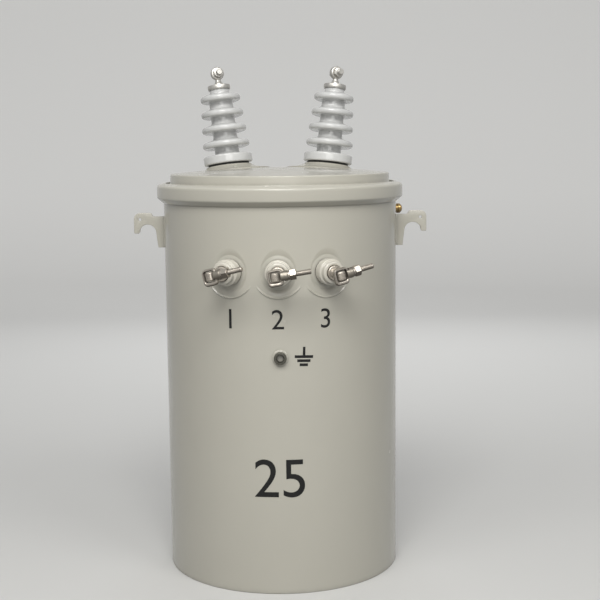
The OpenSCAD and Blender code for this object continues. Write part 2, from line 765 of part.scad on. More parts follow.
// Lifting lug: a plate on edge that ends in a downward hook
module lift_lug(side) color(paint) {
    difference() {
        round_tank(side * 90, tank_r, lug_top) rotate([90, 0, 0])
            translate([0, 0, -lug_t / 2]) linear_extrude(height = lug_t) lug_outline();
        translate([0, 0, lug_top - lug_h - cut]) cylinder(r = tank_r, h = lug_h + 2 * cut, $fn = 128);
    }
}

// Outline of a lug: a tapered stem, a bar over the opening and the hook's tip
module lug_outline() {
    difference() {
        union() {
            translate([-1, -lug_h]) square([lug_reach - lug_corner + 1, lug_h - lug_step]);
            translate([lug_step_at, -lug_step - 1])
                square([lug_reach - lug_corner - lug_step_at, lug_step + 1]);
            translate([lug_stem, -lug_h]) square([lug_reach - lug_stem, lug_h - lug_corner]);
            translate([lug_reach - lug_corner, -lug_corner]) circle(r = lug_corner);
        }
        lug_opening();
        translate([lug_reach - lug_corner, -lug_corner - 1]) circle(d = lug_hole_d);
    }
}

// What is cut away under the bar: the sling's round arch and its way in
module lug_opening() {
    arch = (lug_reach - lug_bar - lug_stem - lug_flare) / 2;
    inside = lug_reach - lug_bar;
    spring = -lug_crown - arch;
    translate([inside - arch, spring]) circle(r = arch);
    polygon([[lug_stem, -lug_h - cut], [lug_stem + lug_flare, spring], [inside, spring],
        [inside, -lug_tip], [lug_reach + cut, -lug_tip], [lug_reach + cut, -lug_h - cut]]);
}

// Pole bracket: a folded plate with a keyhole slot for the pole bolt
module hanger(height) color(paint) {
    difference() {
        translate([-hanger_w / 2, 0, height - hanger_h / 2])
            cube([hanger_w, tank_r + hanger_out, hanger_h]);
        translate([-hanger_w / 2 + hanger_t, 0, height - hanger_h / 2 - cut])
            cube([hanger_w - 2 * hanger_t, tank_r + hanger_out - hanger_t, hanger_h + 2 * cut]);
        translate([0, 0, height - hanger_h / 2 - 2 * cut])
            cylinder(r = tank_r, h = hanger_h + 4 * cut, $fn = 128);
        for (end = [-1, 1]) translate([0, tank_r, height + end * hanger_slot_l / 2]) rotate([-90, 0, 0])
            cylinder(d = hanger_slot_w, h = hanger_out + cut);
        translate([-hanger_slot_w / 2, tank_r, height - hanger_slot_l / 2])
            cube([hanger_slot_w, hanger_out + cut, hanger_slot_l]);
    }
}

// Core and coils, which stand on the bottom plate inside the tank
module core_and_coils() color([0.45, 0.40, 0.35]) {
    foot = bottom_lift + bottom_t;
    translate([-core_w / 2, core_shoulder - core_d / 2, foot])
        cube([core_w, core_d - 2 * core_shoulder, core_h]);
    translate([core_step - core_w / 2, -core_d / 2, foot + core_step])
        cube([core_w - 2 * core_step, core_d, core_h - 2 * core_step]);
}

tank_wall();
tank_bottom();
cover();
cover_seal();
clamp_band();
band_bolt();
lift_lug(-1);  // lift_lug_left
lift_lug(1);  // lift_lug_right
hanger(hanger_upper_height);  // hanger_upper
hanger(hanger_upper_height - hanger_spacing);  // hanger_lower
hv_place(-1) hv_seal();  // hv_seal_left
hv_place(1) hv_seal();  // hv_seal_right
hv_place(-1) hv_porcelain();  // hv_porcelain_left
hv_place(1) hv_porcelain();  // hv_porcelain_right
hv_place(-1) hv_cap();  // hv_cap_left
hv_place(1) hv_cap();  // hv_cap_right
hv_place(-1) hv_terminal(-1);  // hv_terminal_left
hv_place(1) hv_terminal(1);  // hv_terminal_right
hv_place(-1) hv_bolt(-1);  // hv_bolt_left
hv_place(1) hv_bolt(1);  // hv_bolt_right
lv_place(-1) lv_seal();  // lv_seal_1
lv_place(0) lv_seal();  // lv_seal_2
lv_place(1) lv_seal();  // lv_seal_3
lv_place(-1) lv_porcelain();  // lv_porcelain_1
lv_place(0) lv_porcelain();  // lv_porcelain_2
lv_place(1) lv_porcelain();  // lv_porcelain_3
lv_place(-1) lv_stud(-1);  // lv_stud_1
lv_place(0) lv_stud(0);  // lv_stud_2
lv_place(1) lv_stud(1);  // lv_stud_3
lv_place(-1) lv_eyebolt(-1);  // lv_eyebolt_1
lv_place(0) lv_eyebolt(0);  // lv_eyebolt_2
lv_place(1) lv_eyebolt(1);  // lv_eyebolt_3
lv_place(-1) lv_saddle(-1);  // lv_saddle_1
lv_place(0) lv_saddle(0);  // lv_saddle_2
lv_place(1) lv_saddle(1);  // lv_saddle_3
lv_place(-1) lv_nut(-1);  // lv_nut_1
lv_place(0) lv_nut(0);  // lv_nut_2
lv_place(1) lv_nut(1);  // lv_nut_3
ground_boss();
relief_valve();
core_and_coils();
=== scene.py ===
"""A pole mounted transformer: detailed pieces, finishes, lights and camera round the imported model.

Lengths are in metres. The tank's axis is +Z, its front faces -Y, and angles round
the tank are in degrees from the front, positive to the right.
"""

import math

import bmesh
import bpy
from mathutils import Matrix, Vector


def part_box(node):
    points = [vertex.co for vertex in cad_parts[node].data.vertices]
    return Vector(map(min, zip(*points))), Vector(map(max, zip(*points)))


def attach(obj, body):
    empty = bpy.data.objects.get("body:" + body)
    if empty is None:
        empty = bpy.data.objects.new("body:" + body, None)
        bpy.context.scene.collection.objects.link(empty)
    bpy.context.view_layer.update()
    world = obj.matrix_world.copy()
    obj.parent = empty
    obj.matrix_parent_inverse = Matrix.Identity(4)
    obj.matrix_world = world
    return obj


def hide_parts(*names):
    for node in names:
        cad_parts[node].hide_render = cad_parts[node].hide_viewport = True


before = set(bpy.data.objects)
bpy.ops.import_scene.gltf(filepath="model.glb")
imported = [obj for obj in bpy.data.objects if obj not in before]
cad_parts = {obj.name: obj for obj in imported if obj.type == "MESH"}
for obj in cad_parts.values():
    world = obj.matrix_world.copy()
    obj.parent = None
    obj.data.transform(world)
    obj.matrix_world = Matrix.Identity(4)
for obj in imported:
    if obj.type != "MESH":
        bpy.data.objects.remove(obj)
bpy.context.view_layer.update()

bl_info = {
    "name": "Pole Mounted Transformer",
    "version": (1, 0, 0),
    "blender": (4, 5, 0),
    "location": "View3D > Sidebar > Transformer",
    "description": "Builds the detailed pieces and finishes of a pole mounted transformer",
    "category": "Object",
}

BODY = "root"
# Sides as signs of X, and low-voltage terminals as steps round the tank from the middle one
SIDES = {"left": -1, "right": 1}
TERMINALS = {"1": -1, "2": 0, "3": 1}


def node_box(name):
    """The lowest and highest corners of a CAD node at rest, to a hundredth of a millimetre."""
    return [[round(value, 5) for value in corner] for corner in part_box(name)]


def node_height(name):
    """The height of a CAD node's middle above the floor."""
    low, high = node_box(name)
    return (low[2] + high[2]) / 2


TANK_RIM = node_box("tank_wall")[1]
LUG_LOW, LUG_HIGH = node_box("lift_lug_right")
BRACKET_LOW, BRACKET_HIGH = node_box("hanger_upper")


# Sizes and colours that a user may change


class TankSettings(bpy.types.PropertyGroup):
    """Sizes of the tank, its cover and the band between them"""

    radius: bpy.props.FloatProperty(
        name="Radius", description="Outer radius of the tank", default=0.230, unit="LENGTH")
    rim_height: bpy.props.FloatProperty(
        name="Rim height", description="Height of the tank's rim above the floor",
        default=TANK_RIM[2], unit="LENGTH")
    rim_radius: bpy.props.FloatProperty(
        name="Rim radius", description="Outer radius of the rims that the band holds",
        default=TANK_RIM[0], unit="LENGTH")
    wall: bpy.props.FloatProperty(
        name="Wall", description="Thickness of the tank's wall", default=0.003, unit="LENGTH")
    seat_radius: bpy.props.FloatProperty(
        name="Seat radius", description="Radius of the flat seats pressed into the front", default=0.0315,
        unit="LENGTH")
    seat_edge: bpy.props.FloatProperty(
        name="Seat edge", description="Width of the dished edge round a pressed seat", default=0.0160,
        unit="LENGTH")
    crown: bpy.props.FloatProperty(
        name="Crown", description="Height of the cover's crown above the floor", default=0.794, unit="LENGTH")
    shoulder_radius: bpy.props.FloatProperty(
        name="Shoulder radius", description="Radius of the cover's upright shoulder",
        default=0.2165, unit="LENGTH")
    dome_rise: bpy.props.FloatProperty(
        name="Dome rise", description="Rise of the dome above the shoulder", default=0.011, unit="LENGTH")
    seam_angle: bpy.props.FloatProperty(
        name="Seam angle", description="Angle round the tank of its long weld, in degrees", default=152.0)


class BushingSettings(bpy.types.PropertyGroup):
    """Places and sizes of the porcelain bushings"""

    high_radius: bpy.props.FloatProperty(
        name="High bushing radius", description="Distance of the high-voltage bushings from the axis",
        default=0.144, unit="LENGTH")
    high_angle: bpy.props.FloatProperty(
        name="High bushing angle", default=135.0,
        description="Angle of the high-voltage bushings from the front, in degrees")
    high_tilt: bpy.props.FloatProperty(
        name="High bushing tilt", description="Outward tilt of the high-voltage bushings, in degrees",
        default=9.0)
    cover_turn: bpy.props.FloatProperty(
        name="Cover turn", description="Turn of the cover and its bushings, in degrees", default=2.25)
    raised_radius: bpy.props.FloatProperty(
        name="Raised seat radius", description="Radius of the cover's raised seats",
        default=0.047, unit="LENGTH")
    slope_width: bpy.props.FloatProperty(
        name="Slope width", description="Width of the long slope round a raised seat",
        default=0.038, unit="LENGTH")
    slope_height: bpy.props.FloatProperty(
        name="Slope height", description="Height of the long slope round a raised seat",
        default=0.0135, unit="LENGTH")
    seat_rise: bpy.props.FloatProperty(
        name="Seat rise", description="Height of the middle of a raised seat above the crown",
        default=0.0015, unit="LENGTH")
    shed_count: bpy.props.IntProperty(
        name="Sheds", description="Number of sheds on a high-voltage bushing", default=4)
    shed_pitch: bpy.props.FloatProperty(
        name="Shed pitch", description="Spacing of the sheds", default=0.0315, unit="LENGTH")
    low_height: bpy.props.FloatProperty(
        name="Low bushing height", description="Height of the low-voltage row above the floor",
        default=node_height("lv_porcelain_2"), unit="LENGTH")
    low_middle: bpy.props.FloatProperty(
        name="Low bushing angle", description="Angle of the middle low-voltage bushing, in degrees",
        default=-0.5)
    low_step: bpy.props.FloatProperty(
        name="Low bushing step", description="Angle between the low-voltage bushings, in degrees",
        default=23.0)
    low_reach: bpy.props.FloatProperty(
        name="Connector reach", description="Distance of a clamp's middle from its seat",
        default=0.070, unit="LENGTH")


class FinishSettings(bpy.types.PropertyGroup):
    """Colours and gloss of the finishes"""

    paint: bpy.props.FloatVectorProperty(
        name="Paint", description="Colour of the enamel on the tank", subtype="COLOR",
        default=(0.507, 0.491, 0.428))
    paint_gloss: bpy.props.FloatProperty(
        name="Paint roughness", description="Roughness of the enamel", subtype="FACTOR", default=0.24)
    grey_glaze: bpy.props.FloatVectorProperty(
        name="Grey glaze", description="Colour of the high-voltage porcelain", subtype="COLOR",
        default=(0.590, 0.595, 0.590))
    cream_glaze: bpy.props.FloatVectorProperty(
        name="Cream glaze", description="Colour of the low-voltage porcelain", subtype="COLOR",
        default=(0.61, 0.585, 0.515))
    tinned: bpy.props.FloatVectorProperty(
        name="Tinned metal", description="Colour of the tinned bronze connectors", subtype="COLOR",
        default=(0.49, 0.45, 0.395))
    # A lighter copy of the tinned colour, painted light for the lit faces of the low-voltage studs.
    painted_light_tin: bpy.props.FloatVectorProperty(
        name="Bright tin", description="Colour of the low-voltage studs", subtype="COLOR",
        default=(0.64, 0.585, 0.51))
    dull_tin: bpy.props.FloatVectorProperty(
        name="Dull tin", description="Colour of the weathered caps and terminals on top", subtype="COLOR",
        default=(0.60, 0.585, 0.55))
    cast: bpy.props.FloatVectorProperty(
        name="Cast bronze", description="Colour of the slotted saddles", subtype="COLOR",
        default=(0.30, 0.275, 0.235))
    bare_steel: bpy.props.FloatVectorProperty(
        name="Bare steel", description="Colour of the tapped ground boss", subtype="COLOR",
        default=(0.125, 0.122, 0.103))
    steel: bpy.props.FloatVectorProperty(
        name="Plated steel", description="Colour of the plated steel bolt", subtype="COLOR",
        default=(0.42, 0.42, 0.40))
    core: bpy.props.FloatVectorProperty(
        name="Core steel", description="Colour of the core inside the tank", subtype="COLOR",
        default=(0.30, 0.27, 0.24))
    brass: bpy.props.FloatVectorProperty(
        name="Brass", description="Colour of the relief valve", subtype="COLOR", default=(0.48, 0.325, 0.135))
    rubber: bpy.props.FloatVectorProperty(
        name="Rubber", description="Colour of the seals", subtype="COLOR", default=(0.022, 0.022, 0.022))
    lettering: bpy.props.FloatVectorProperty(
        name="Lettering", description="Colour of the painted numbers", subtype="COLOR",
        default=(0.012, 0.012, 0.012))


class StageSettings(bpy.types.PropertyGroup):
    """Floor, lights and camera"""

    floor: bpy.props.FloatVectorProperty(
        name="Floor", description="Colour of the floor and backdrop", subtype="COLOR",
        default=(0.64, 0.64, 0.63))
    backdrop_glow: bpy.props.FloatProperty(
        name="Backdrop glow", description="Brightness of the far backdrop for the camera and in reflections",
        default=0.42)
    bounce: bpy.props.FloatVectorProperty(
        name="Bounce", description="Colour of the light that the floor throws back", subtype="COLOR",
        default=(0.20, 0.20, 0.195))
    ambient: bpy.props.FloatProperty(
        name="Ambient", description="Strength of the light from all round", default=0.22)
    background: bpy.props.FloatProperty(
        name="Background", description="Brightness of the surroundings for the camera and in reflections",
        default=0.50)
    lens: bpy.props.FloatProperty(
        name="Lens", description="Focal length of the camera", default=72.4, subtype="DISTANCE_CAMERA")


# Frames on the tank


def turn(axis, degrees):
    """A rotation about one of the axes."""
    return Matrix.Rotation(math.radians(degrees), 4, axis)


def shift(x, y, z):
    """A translation."""
    return Matrix.Translation((x, y, z))


def round_tank(angle, radius, height):
    """A frame at a place round the tank, with +X outward, +Y to the right and +Z up."""
    return turn("Z", angle - 90) @ shift(radius, 0, height)


# These turn +Z to point outward, and to point to the right
OUTWARD = turn("Y", 90)
RIGHTWARD = turn("X", -90)


def high_frame(settings, tank, side):
    """The frame of a high-voltage bushing, with +Z along its axis and the seat at 0."""
    seat = tank.crown + settings.seat_rise
    angle = settings.cover_turn + side * settings.high_angle
    return round_tank(angle, settings.high_radius, seat) @ turn("Y", settings.high_tilt)


def low_frame(settings, tank, step):
    """The frame of a low-voltage bushing's seat, with +X outward."""
    return round_tank(settings.low_middle + step * settings.low_step, flat_radius(tank, tank.seat_radius),
                      settings.low_height)


def flat_radius(tank, across):
    """Distance from the axis of a flat whose edges meet the wall this far across from its middle."""
    return math.sqrt(tank.radius ** 2 - across ** 2)


# Mesh tools


class Form:
    """Closed shells that together make one piece."""

    def __init__(self):
        self.points = []
        self.faces = []

    def add(self, shell, place=Matrix()):
        """Adds a shell of (points, faces), moved to its place."""
        start = len(self.points)
        self.points += [place @ Vector(p) for p in shell[0]]
        self.faces += [[start + i for i in face] for face in shell[1]]
        return self

    def mesh(self, name):
        """The shells as a mesh with its normals outward and coincident points merged."""
        coincident, collapsed = 1e-7, 1e-8
        mesh = bpy.data.meshes.new(name)
        mesh.from_pydata(self.points, [], self.faces)
        work = bmesh.new()
        work.from_mesh(mesh)
        bmesh.ops.remove_doubles(work, verts=work.verts, dist=coincident)
        bmesh.ops.dissolve_degenerate(work, edges=work.edges, dist=collapsed)
        bmesh.ops.recalc_face_normals(work, faces=work.faces)
        work.to_mesh(mesh)
        work.free()
        return mesh


def shell_of(mesh):
    """A mesh as a shell of (points, faces)."""
    return [v.co.copy() for v in mesh.vertices], [list(p.vertices) for p in mesh.polygons]


def make_piece(name, form, finish, nodes=(), sharp=40.0):
    """Turns a form or a mesh into a piece that rides on the body and stands for CAD nodes."""
    mesh = form if isinstance(form, bpy.types.Mesh) else form.mesh(name)
    mesh.name = name
    for polygon in mesh.polygons:
        polygon.use_smooth = True
    mesh.set_sharp_from_angle(angle=math.radians(sharp))
    mesh.materials.clear()
    mesh.materials.append(finish)
    piece = bpy.data.objects.new(name, mesh)
    bpy.context.scene.collection.objects.link(piece)
    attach(piece, BODY)
    if nodes:
        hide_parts(*nodes)
    return piece


def evaluated(data, *modifiers):
    """A mesh, outline or text as a new mesh after modifiers, each a (type, settings) pair."""
    scratch = bpy.data.objects.new("scratch", data)
    bpy.context.scene.collection.objects.link(scratch)
    for kind, values in modifiers:
        modifier = scratch.modifiers.new(kind.lower(), kind)
        for key, value in values.items():
            setattr(modifier, key, value)
    bpy.context.view_layer.update()
    result = bpy.data.meshes.new_from_object(scratch.evaluated_get(bpy.context.evaluated_depsgraph_get()))
    bpy.data.objects.remove(scratch)
    return result


def carved(mesh, cutter, operation="DIFFERENCE"):
    """A mesh with a form taken away from it or joined to it."""
    tool = bpy.data.objects.new("cutter", cutter.mesh("cutter"))
    bpy.context.scene.collection.objects.link(tool)
    result = evaluated(mesh, ("BOOLEAN", {"operation": operation, "object": tool, "solver": "EXACT"}))
    bpy.data.objects.remove(tool)
    return result


def fused(form, voxel, rounds):
    """The shells of a form, or a mesh, melted into one cast body with soft inner corners."""
    return evaluated(
        form if isinstance(form, bpy.types.Mesh) else form.mesh("cast"),
        ("REMESH", {"mode": "VOXEL", "voxel_size": voxel}),
        ("SMOOTH", {"factor": 0.5, "iterations": rounds}),
    )


def grid(rows, columns, wrap_rows=False):
    """Faces of a grid of points that is closed round its columns."""
    faces = []
    for r in range(rows if wrap_rows else rows - 1):
        upper = (r + 1) % rows
        for c in range(columns):
            right = (c + 1) % columns
            faces.append([r * columns + c, r * columns + right, upper * columns + right, upper * columns + c])
    return faces


def circle(radius, sides, x=0.0, y=0.0):
    """A closed round outline."""
    turns = [2 * math.pi * k / sides for k in range(sides)]
    return [(x + radius * math.cos(angle), y + radius * math.sin(angle)) for angle in turns]


def arc(x, y, radius, degrees):
    """Points round a middle at the given angles."""
    return [(x + radius * math.cos(math.radians(a)), y + radius * math.sin(math.radians(a))) for a in degrees]


def rounded(corners, loop=False, steps=5):
    """A path through (radius, height, rounding) corners, each rounded by its own radius."""
    longest_share = 0.499
    path, count = [], len(corners)
    for i, corner in enumerate(corners):
        here, rounding = Vector(corner[:2]), corner[2] if len(corner) > 2 else 0.0
        if rounding <= 0 or (not loop and i in (0, count - 1)):
            path.append(tuple(here))
            continue
        before = Vector(corners[i - 1][:2]) - here
        after = Vector(corners[(i + 1) % count][:2]) - here
        half = before.angle(after) / 2
        reach = min(rounding / math.tan(half), longest_share * before.length, longest_share * after.length)
        radius = reach * math.tan(half)
        middle = here + (before.normalized() + after.normalized()).normalized() * radius / math.sin(half)
        start = here + before.normalized() * reach - middle
        stop = here + after.normalized() * reach - middle
        sweep_angle = start.angle_signed(stop)
        for k in range(steps + 1):
            point = start.copy()
            point.rotate(Matrix.Rotation(-sweep_angle * k / steps, 2))
            path.append(tuple(middle + point))
    return path


def sheet(corners, thickness, edge):
    """The closed section of a bent sheet, from the (radius, height, rounding) corners of its left face."""
    least_bend = 0.0003
    points = [Vector(c[:2]) for c in corners]
    rights = [Vector(((b - a).y, -(b - a).x)).normalized() for a, b in zip(points, points[1:])]
    ends = (0, len(corners) - 1)
    front, back = [], []
    for i, corner in enumerate(corners):
        one, two = rights[max(0, i - 1)], rights[min(i, len(rights) - 1)]
        place = points[i] + (one + two) * thickness / (1 + one.dot(two))
        bend = corner[2] + (-thickness if one.cross(two) < 0 else thickness)
        front.append((corner[0], corner[1], edge if i in ends else corner[2]))
        back.append((place.x, place.y, edge if i in ends else max(least_bend, bend)))
    return rounded(front + back[::-1], loop=True, steps=6)


def lathe(path, segments, loop=False):
    """Turns a path of (radius, height) round +Z, where a radius may depend on the share of a turn."""
    points = []
    for radius, height in path:
        for s in range(segments):
            reach = radius(s / segments) if callable(radius) else radius
            angle = 2 * math.pi * s / segments
            points.append((reach * math.cos(angle), reach * math.sin(angle), height))
    return points, grid(len(path), segments, wrap_rows=loop)


def hexagon(flats, length, hole=0.0):
    """A hexagonal nut or head along +Z with both ends chamfered, and a hole with a lead at each end."""
    face_share, steepness, lead_share, clear, sides = 0.475, 0.55, 0.03, 1e-5, 96
    corner = flats / math.sqrt(3) + clear
    face = flats * face_share
    drop = (corner - face) * steepness
    low = [(face + (corner - face) * t, drop * t) for t in (0, 0.25, 0.5, 0.7, 0.85, 1)]
    high = [(radius, length - height) for radius, height in reversed(low)]
    if hole:
        lead = flats * lead_share
        path = [(hole + lead, 0)] + low + high + [(hole + lead, length), (hole, length - lead), (hole, lead)]
    else:
        path = [(0, 0)] + low + high + [(0, length)]

    def cut(radius):
        """A radius that the six flats cut short."""
        return lambda share: min(radius, flats / 2 / math.cos(math.radians(share * 360 % 60 - 30)))

    return lathe([(cut(radius), height) for radius, height in path], sides, loop=bool(hole))


def thread_wave(height, pitch, share):
    """Where a thread is at a height and a share of a turn, from 0 on its crest to 1 at its root."""
    return abs(2 * ((height / pitch - share) % 1.0) - 1)


def threaded(radius, length, pitch, segments=40):
    """A threaded rod along +Z with chamfered ends and worn crests."""
    rows_a_turn, chamfer = 8, 0.00112
    depth, crest, flank = pitch * 0.30, 0.40, 0.50
    rows = max(2, round(length / pitch * rows_a_turn))

    def surface(height):
        """The rod's radius at a height, for each share of a turn."""
        end = radius - chamfer + min(height, length - height)

        def reach(share):
            """The radius at one share of a turn."""
            cut = depth * min(1.0, max(0.0, (thread_wave(height, pitch, share) - crest) / flank))
            return min(radius - cut, end)

        return reach

    heights = [length * row / rows for row in range(rows + 1)]
    return lathe([(0, 0)] + [(surface(height), height) for height in heights] + [(0, length)], segments)


def sweep(path, section, closed):
    """Carries a section, which may depend on the share of the path, along it, and caps an open path."""
    path = [Vector(p) for p in path]
    count, size = len(path), 0
    tangents = []
    for i in range(count):
        before = path[i - 1] if closed or i else path[i]
        after = path[(i + 1) % count] if closed or i < count - 1 else path[i]
        tangents.append((after - before).normalized())
    up = Vector((0, 0, 1)) if abs(tangents[0].z) < 0.9 else Vector((0, 1, 0))
    side = tangents[0].cross(up).normalized()
    points, faces = [], []
    for i in range(count):
        side = (side - tangents[i] * side.dot(tangents[i])).normalized()
        normal = side.cross(tangents[i])
        shape = section(i / max(1, count - 1))
        size = len(shape)
        points += [path[i] + side * u + normal * v for u, v in shape]
    for i in range(count if closed else count - 1):
        a, b = i * size, ((i + 1) % count) * size
        faces += [[a + j, a + (j + 1) % size, b + (j + 1) % size, b + j] for j in range(size)]
    if not closed:
        faces += [list(range(size))[::-1], list(range((count - 1) * size, count * size))]
    return points, faces


def weld_bead(path, radius, closed=False):
    """A bead of weld along a path, with the ripples of its puddles."""
    puddle, rings_a_puddle, sides = 0.0022, 5, 8
    ripple, wander, wander_turn = 0.09, 0.05, 0.37
    end_size, end_rings = 0.35, 12
    points = [Vector(p) for p in path]
    fine = []
    for start, stop in zip(points, points[1:] + points[:1] if closed else points[1:]):
        steps = max(1, int((stop - start).length / (puddle / rings_a_puddle)))
        fine += [start.lerp(stop, k / steps) for k in range(steps)]
    if not closed:
        fine.append(points[-1])
    size = len(fine)

    def section(share):
        """The bead's section, which swells with each puddle and is smaller at the ends."""
        place = share * size
        swell = 1 + ripple * math.sin(2 * math.pi * place / rings_a_puddle)
        swell += wander * math.sin(place * wander_turn)
        tail = 1.0 if closed else min(1.0, end_size + min(place, size - place) / end_rings)
        return circle(radius * swell * tail, sides)

    return sweep(fine, section, closed)


def block(size, place, edge):
    """A box with softly broken edges, centred on its place."""
    work = bmesh.new()
    bmesh.ops.create_cube(work, size=1.0)
    bmesh.ops.scale(work, vec=size, verts=work.verts)
    bmesh.ops.bevel(work, geom=work.edges[:], offset=edge, segments=2, profile=0.5, affect="EDGES")
    points = [place @ v.co for v in work.verts]
    faces = [[v.index for v in f.verts] for f in work.faces]
    work.free()
    return points, faces


def plate(outlines, thickness, edge):
    """A flat plate across +Z with holes, from closed outlines, its edges softly rounded."""
    curve = bpy.data.curves.new("outline", "CURVE")
    curve.dimensions = "2D"
    curve.fill_mode = "BOTH"
    curve.extrude = thickness / 2 - edge
    curve.bevel_depth = edge
    curve.bevel_resolution = 2
    curve.offset = -edge
    for outline in outlines:
        spline = curve.splines.new("POLY")
        spline.points.add(len(outline) - 1)
        spline.use_cyclic_u = True
        for point, (x, y) in zip(spline.points, outline):
            point.co = (x, y, 0, 1)
    return shell_of(evaluated(curve))


# Finishes


def new_group(name, inputs, outputs):
    """An empty shader node group with named float, colour or vector sockets."""
    group = bpy.data.node_groups.new(name, "ShaderNodeTree")
    kinds = {"float": "NodeSocketFloat", "colour": "NodeSocketColor", "vector": "NodeSocketVector"}
    for label, kind, value in inputs:
        socket = group.interface.new_socket(name=label, in_out="INPUT", socket_type=kinds[kind])
        if value is not None:
            socket.default_value = value
    for label, kind in outputs:
        group.interface.new_socket(name=label, in_out="OUTPUT", socket_type=kinds[kind])
    return group, group.nodes.new("NodeGroupInput"), group.nodes.new("NodeGroupOutput")


class Wiring:
    """Short ways to add and join nodes in one tree."""

    def __init__(self, tree):
        self.tree = tree

    def put(self, target, value):
        """Gives an input a value or joins an output to it."""
        if isinstance(value, bpy.types.NodeSocket):
            self.tree.links.new(value, target)
        elif value is not None:
            target.default_value = value

    def noise(self, vector, scale, detail=3.0, roughness=0.55):
        """Cloudy noise from 0 to 1."""
        node = self.tree.nodes.new("ShaderNodeTexNoise")
        self.put(node.inputs["Vector"], vector)
        self.put(node.inputs["Scale"], scale)
        node.inputs["Detail"].default_value = detail
        node.inputs["Roughness"].default_value = roughness
        return node.outputs["Fac"]

    def spread(self, value, low, high, to_low=0.0, to_high=1.0):
        """Maps a range of values onto another and clamps it."""
        node = self.tree.nodes.new("ShaderNodeMapRange")
        for key, entry in (("Value", value), ("From Min", low), ("From Max", high),
                           ("To Min", to_low), ("To Max", to_high)):
            self.put(node.inputs[key], entry)
        return node.outputs["Result"]

    def maths(self, operation, first, second, clamp=False):
        """One sum, difference or product."""
        node = self.tree.nodes.new("ShaderNodeMath")
        node.operation = operation
        node.use_clamp = clamp
        self.put(node.inputs[0], first)
        self.put(node.inputs[1], second)
        return node.outputs[0]

    def mix(self, share, first, second):
        """A colour between two, by a share."""
        node = self.tree.nodes.new("ShaderNodeMix")
        node.data_type = "RGBA"
        self.put(node.inputs["Factor"], share)
        self.put(node.inputs["A"], first)
        self.put(node.inputs["B"], second)
        return node.outputs["Result"]

    def group(self, tree, **values):
        """A node group with its inputs set, an underscore standing for a space."""
        node = self.tree.nodes.new("ShaderNodeGroup")
        node.node_tree = tree
        for key, value in values.items():
            self.put(node.inputs[key.replace("_", " ")], value)
        return node

    def bump(self, height, strength, distance):
        """A normal from a height."""
        node = self.tree.nodes.new("ShaderNodeBump")
        node.inputs["Strength"].default_value = strength
        node.inputs["Distance"].default_value = distance
        self.put(node.inputs["Height"], height)
        return node.outputs["Normal"]


def place_vector(wiring):
    """The piece's own coordinates, in metres."""
    return wiring.tree.nodes.new("ShaderNodeTexCoord").outputs["Object"]


def build_grain_group():
    """Fine grain over a broader unevenness, for bump and roughness."""
    group, entry, result = new_group(
        "Surface grain",
        [("Vector", "vector", None), ("Fine scale", "float", 400.0), ("Broad scale", "float", 14.0),
         ("Broad share", "float", 0.7)],
        [("Height", "float"), ("Fine", "float")])
    w = Wiring(group)
    fine = w.noise(entry.outputs["Vector"], entry.outputs["Fine scale"], detail=3.0)
    broad = w.noise(entry.outputs["Vector"], entry.outputs["Broad scale"], detail=1.5, roughness=0.4)
    weighted = w.maths("MULTIPLY", broad, entry.outputs["Broad share"])
    w.put(result.inputs["Height"], w.maths("ADD", fine, weighted))
    w.put(result.inputs["Fine"], fine)
    return group


def build_soiling_and_shade_group():
    """Grime and painted shade in inner corners, painted shade on faces that look down, and dust that lies on
    level faces.
    """
    # The corner amount darkens inner corners, as grime and painted shade; the amount for faces that look down
    # paints shade there.
    group, entry, result = new_group(
        "Soiling and painted shade",
        [("Colour", "colour", (0.5, 0.5, 0.5, 1)), ("Vector", "vector", None), ("Reach", "float", 0.01),
         ("Dirt colour", "colour", (0.06, 0.05, 0.04, 1)), ("Dirt", "float", 0.5),
         ("Dust colour", "colour", (0.42, 0.40, 0.35, 1)), ("Dust", "float", 0.1),
         ("Underside", "float", 0.0)],
        [("Colour", "colour"), ("Dirt and shade mask", "float"), ("Dust mask", "float")])
    w = Wiring(group)
    hollow = group.nodes.new("ShaderNodeAmbientOcclusion")
    hollow.samples = 8
    hollow.only_local = False
    w.put(hollow.inputs["Distance"], entry.outputs["Reach"])
    patches = w.noise(entry.outputs["Vector"], 55.0, detail=4.0, roughness=0.6)
    # Inner corners darken by ambient occlusion, broken into patches: partly grime, partly painted shade.
    corner = w.spread(hollow.outputs["AO"], 0.35, 0.95, 1.0, 0.0)
    corner = w.maths("MULTIPLY", corner, w.spread(patches, 0.25, 0.75, 0.45, 1.0))
    dirt_and_shade = w.maths("MULTIPLY", corner, entry.outputs["Dirt"], clamp=True)
    geometry = group.nodes.new("ShaderNodeNewGeometry")
    upright = group.nodes.new("ShaderNodeSeparateXYZ")
    w.put(upright.inputs[0], geometry.outputs["Normal"])
    level = w.spread(upright.outputs["Z"], 0.55, 0.98)
    specks = w.noise(entry.outputs["Vector"], 90.0, detail=5.0, roughness=0.65)
    dust = w.maths("MULTIPLY", level, w.spread(specks, 0.3, 0.75, 0.35, 1.0))
    dust = w.maths("MULTIPLY", dust, entry.outputs["Dust"], clamp=True)
    soiled_and_shaded = w.mix(dirt_and_shade, entry.outputs["Colour"], entry.outputs["Dirt colour"])
    # Painted shade: faces that look down are darkened towards the dark colour.
    underside_shade = w.maths("MULTIPLY", w.spread(upright.outputs["Z"], 0.05, -0.50), entry.outputs["Underside"])
    soiled_and_shaded = w.mix(underside_shade, soiled_and_shaded, entry.outputs["Dirt colour"])
    w.put(result.inputs["Colour"], w.mix(dust, soiled_and_shaded, entry.outputs["Dust colour"]))
    w.put(result.inputs["Dirt and shade mask"], dirt_and_shade)
    w.put(result.inputs["Dust mask"], dust)
    return group


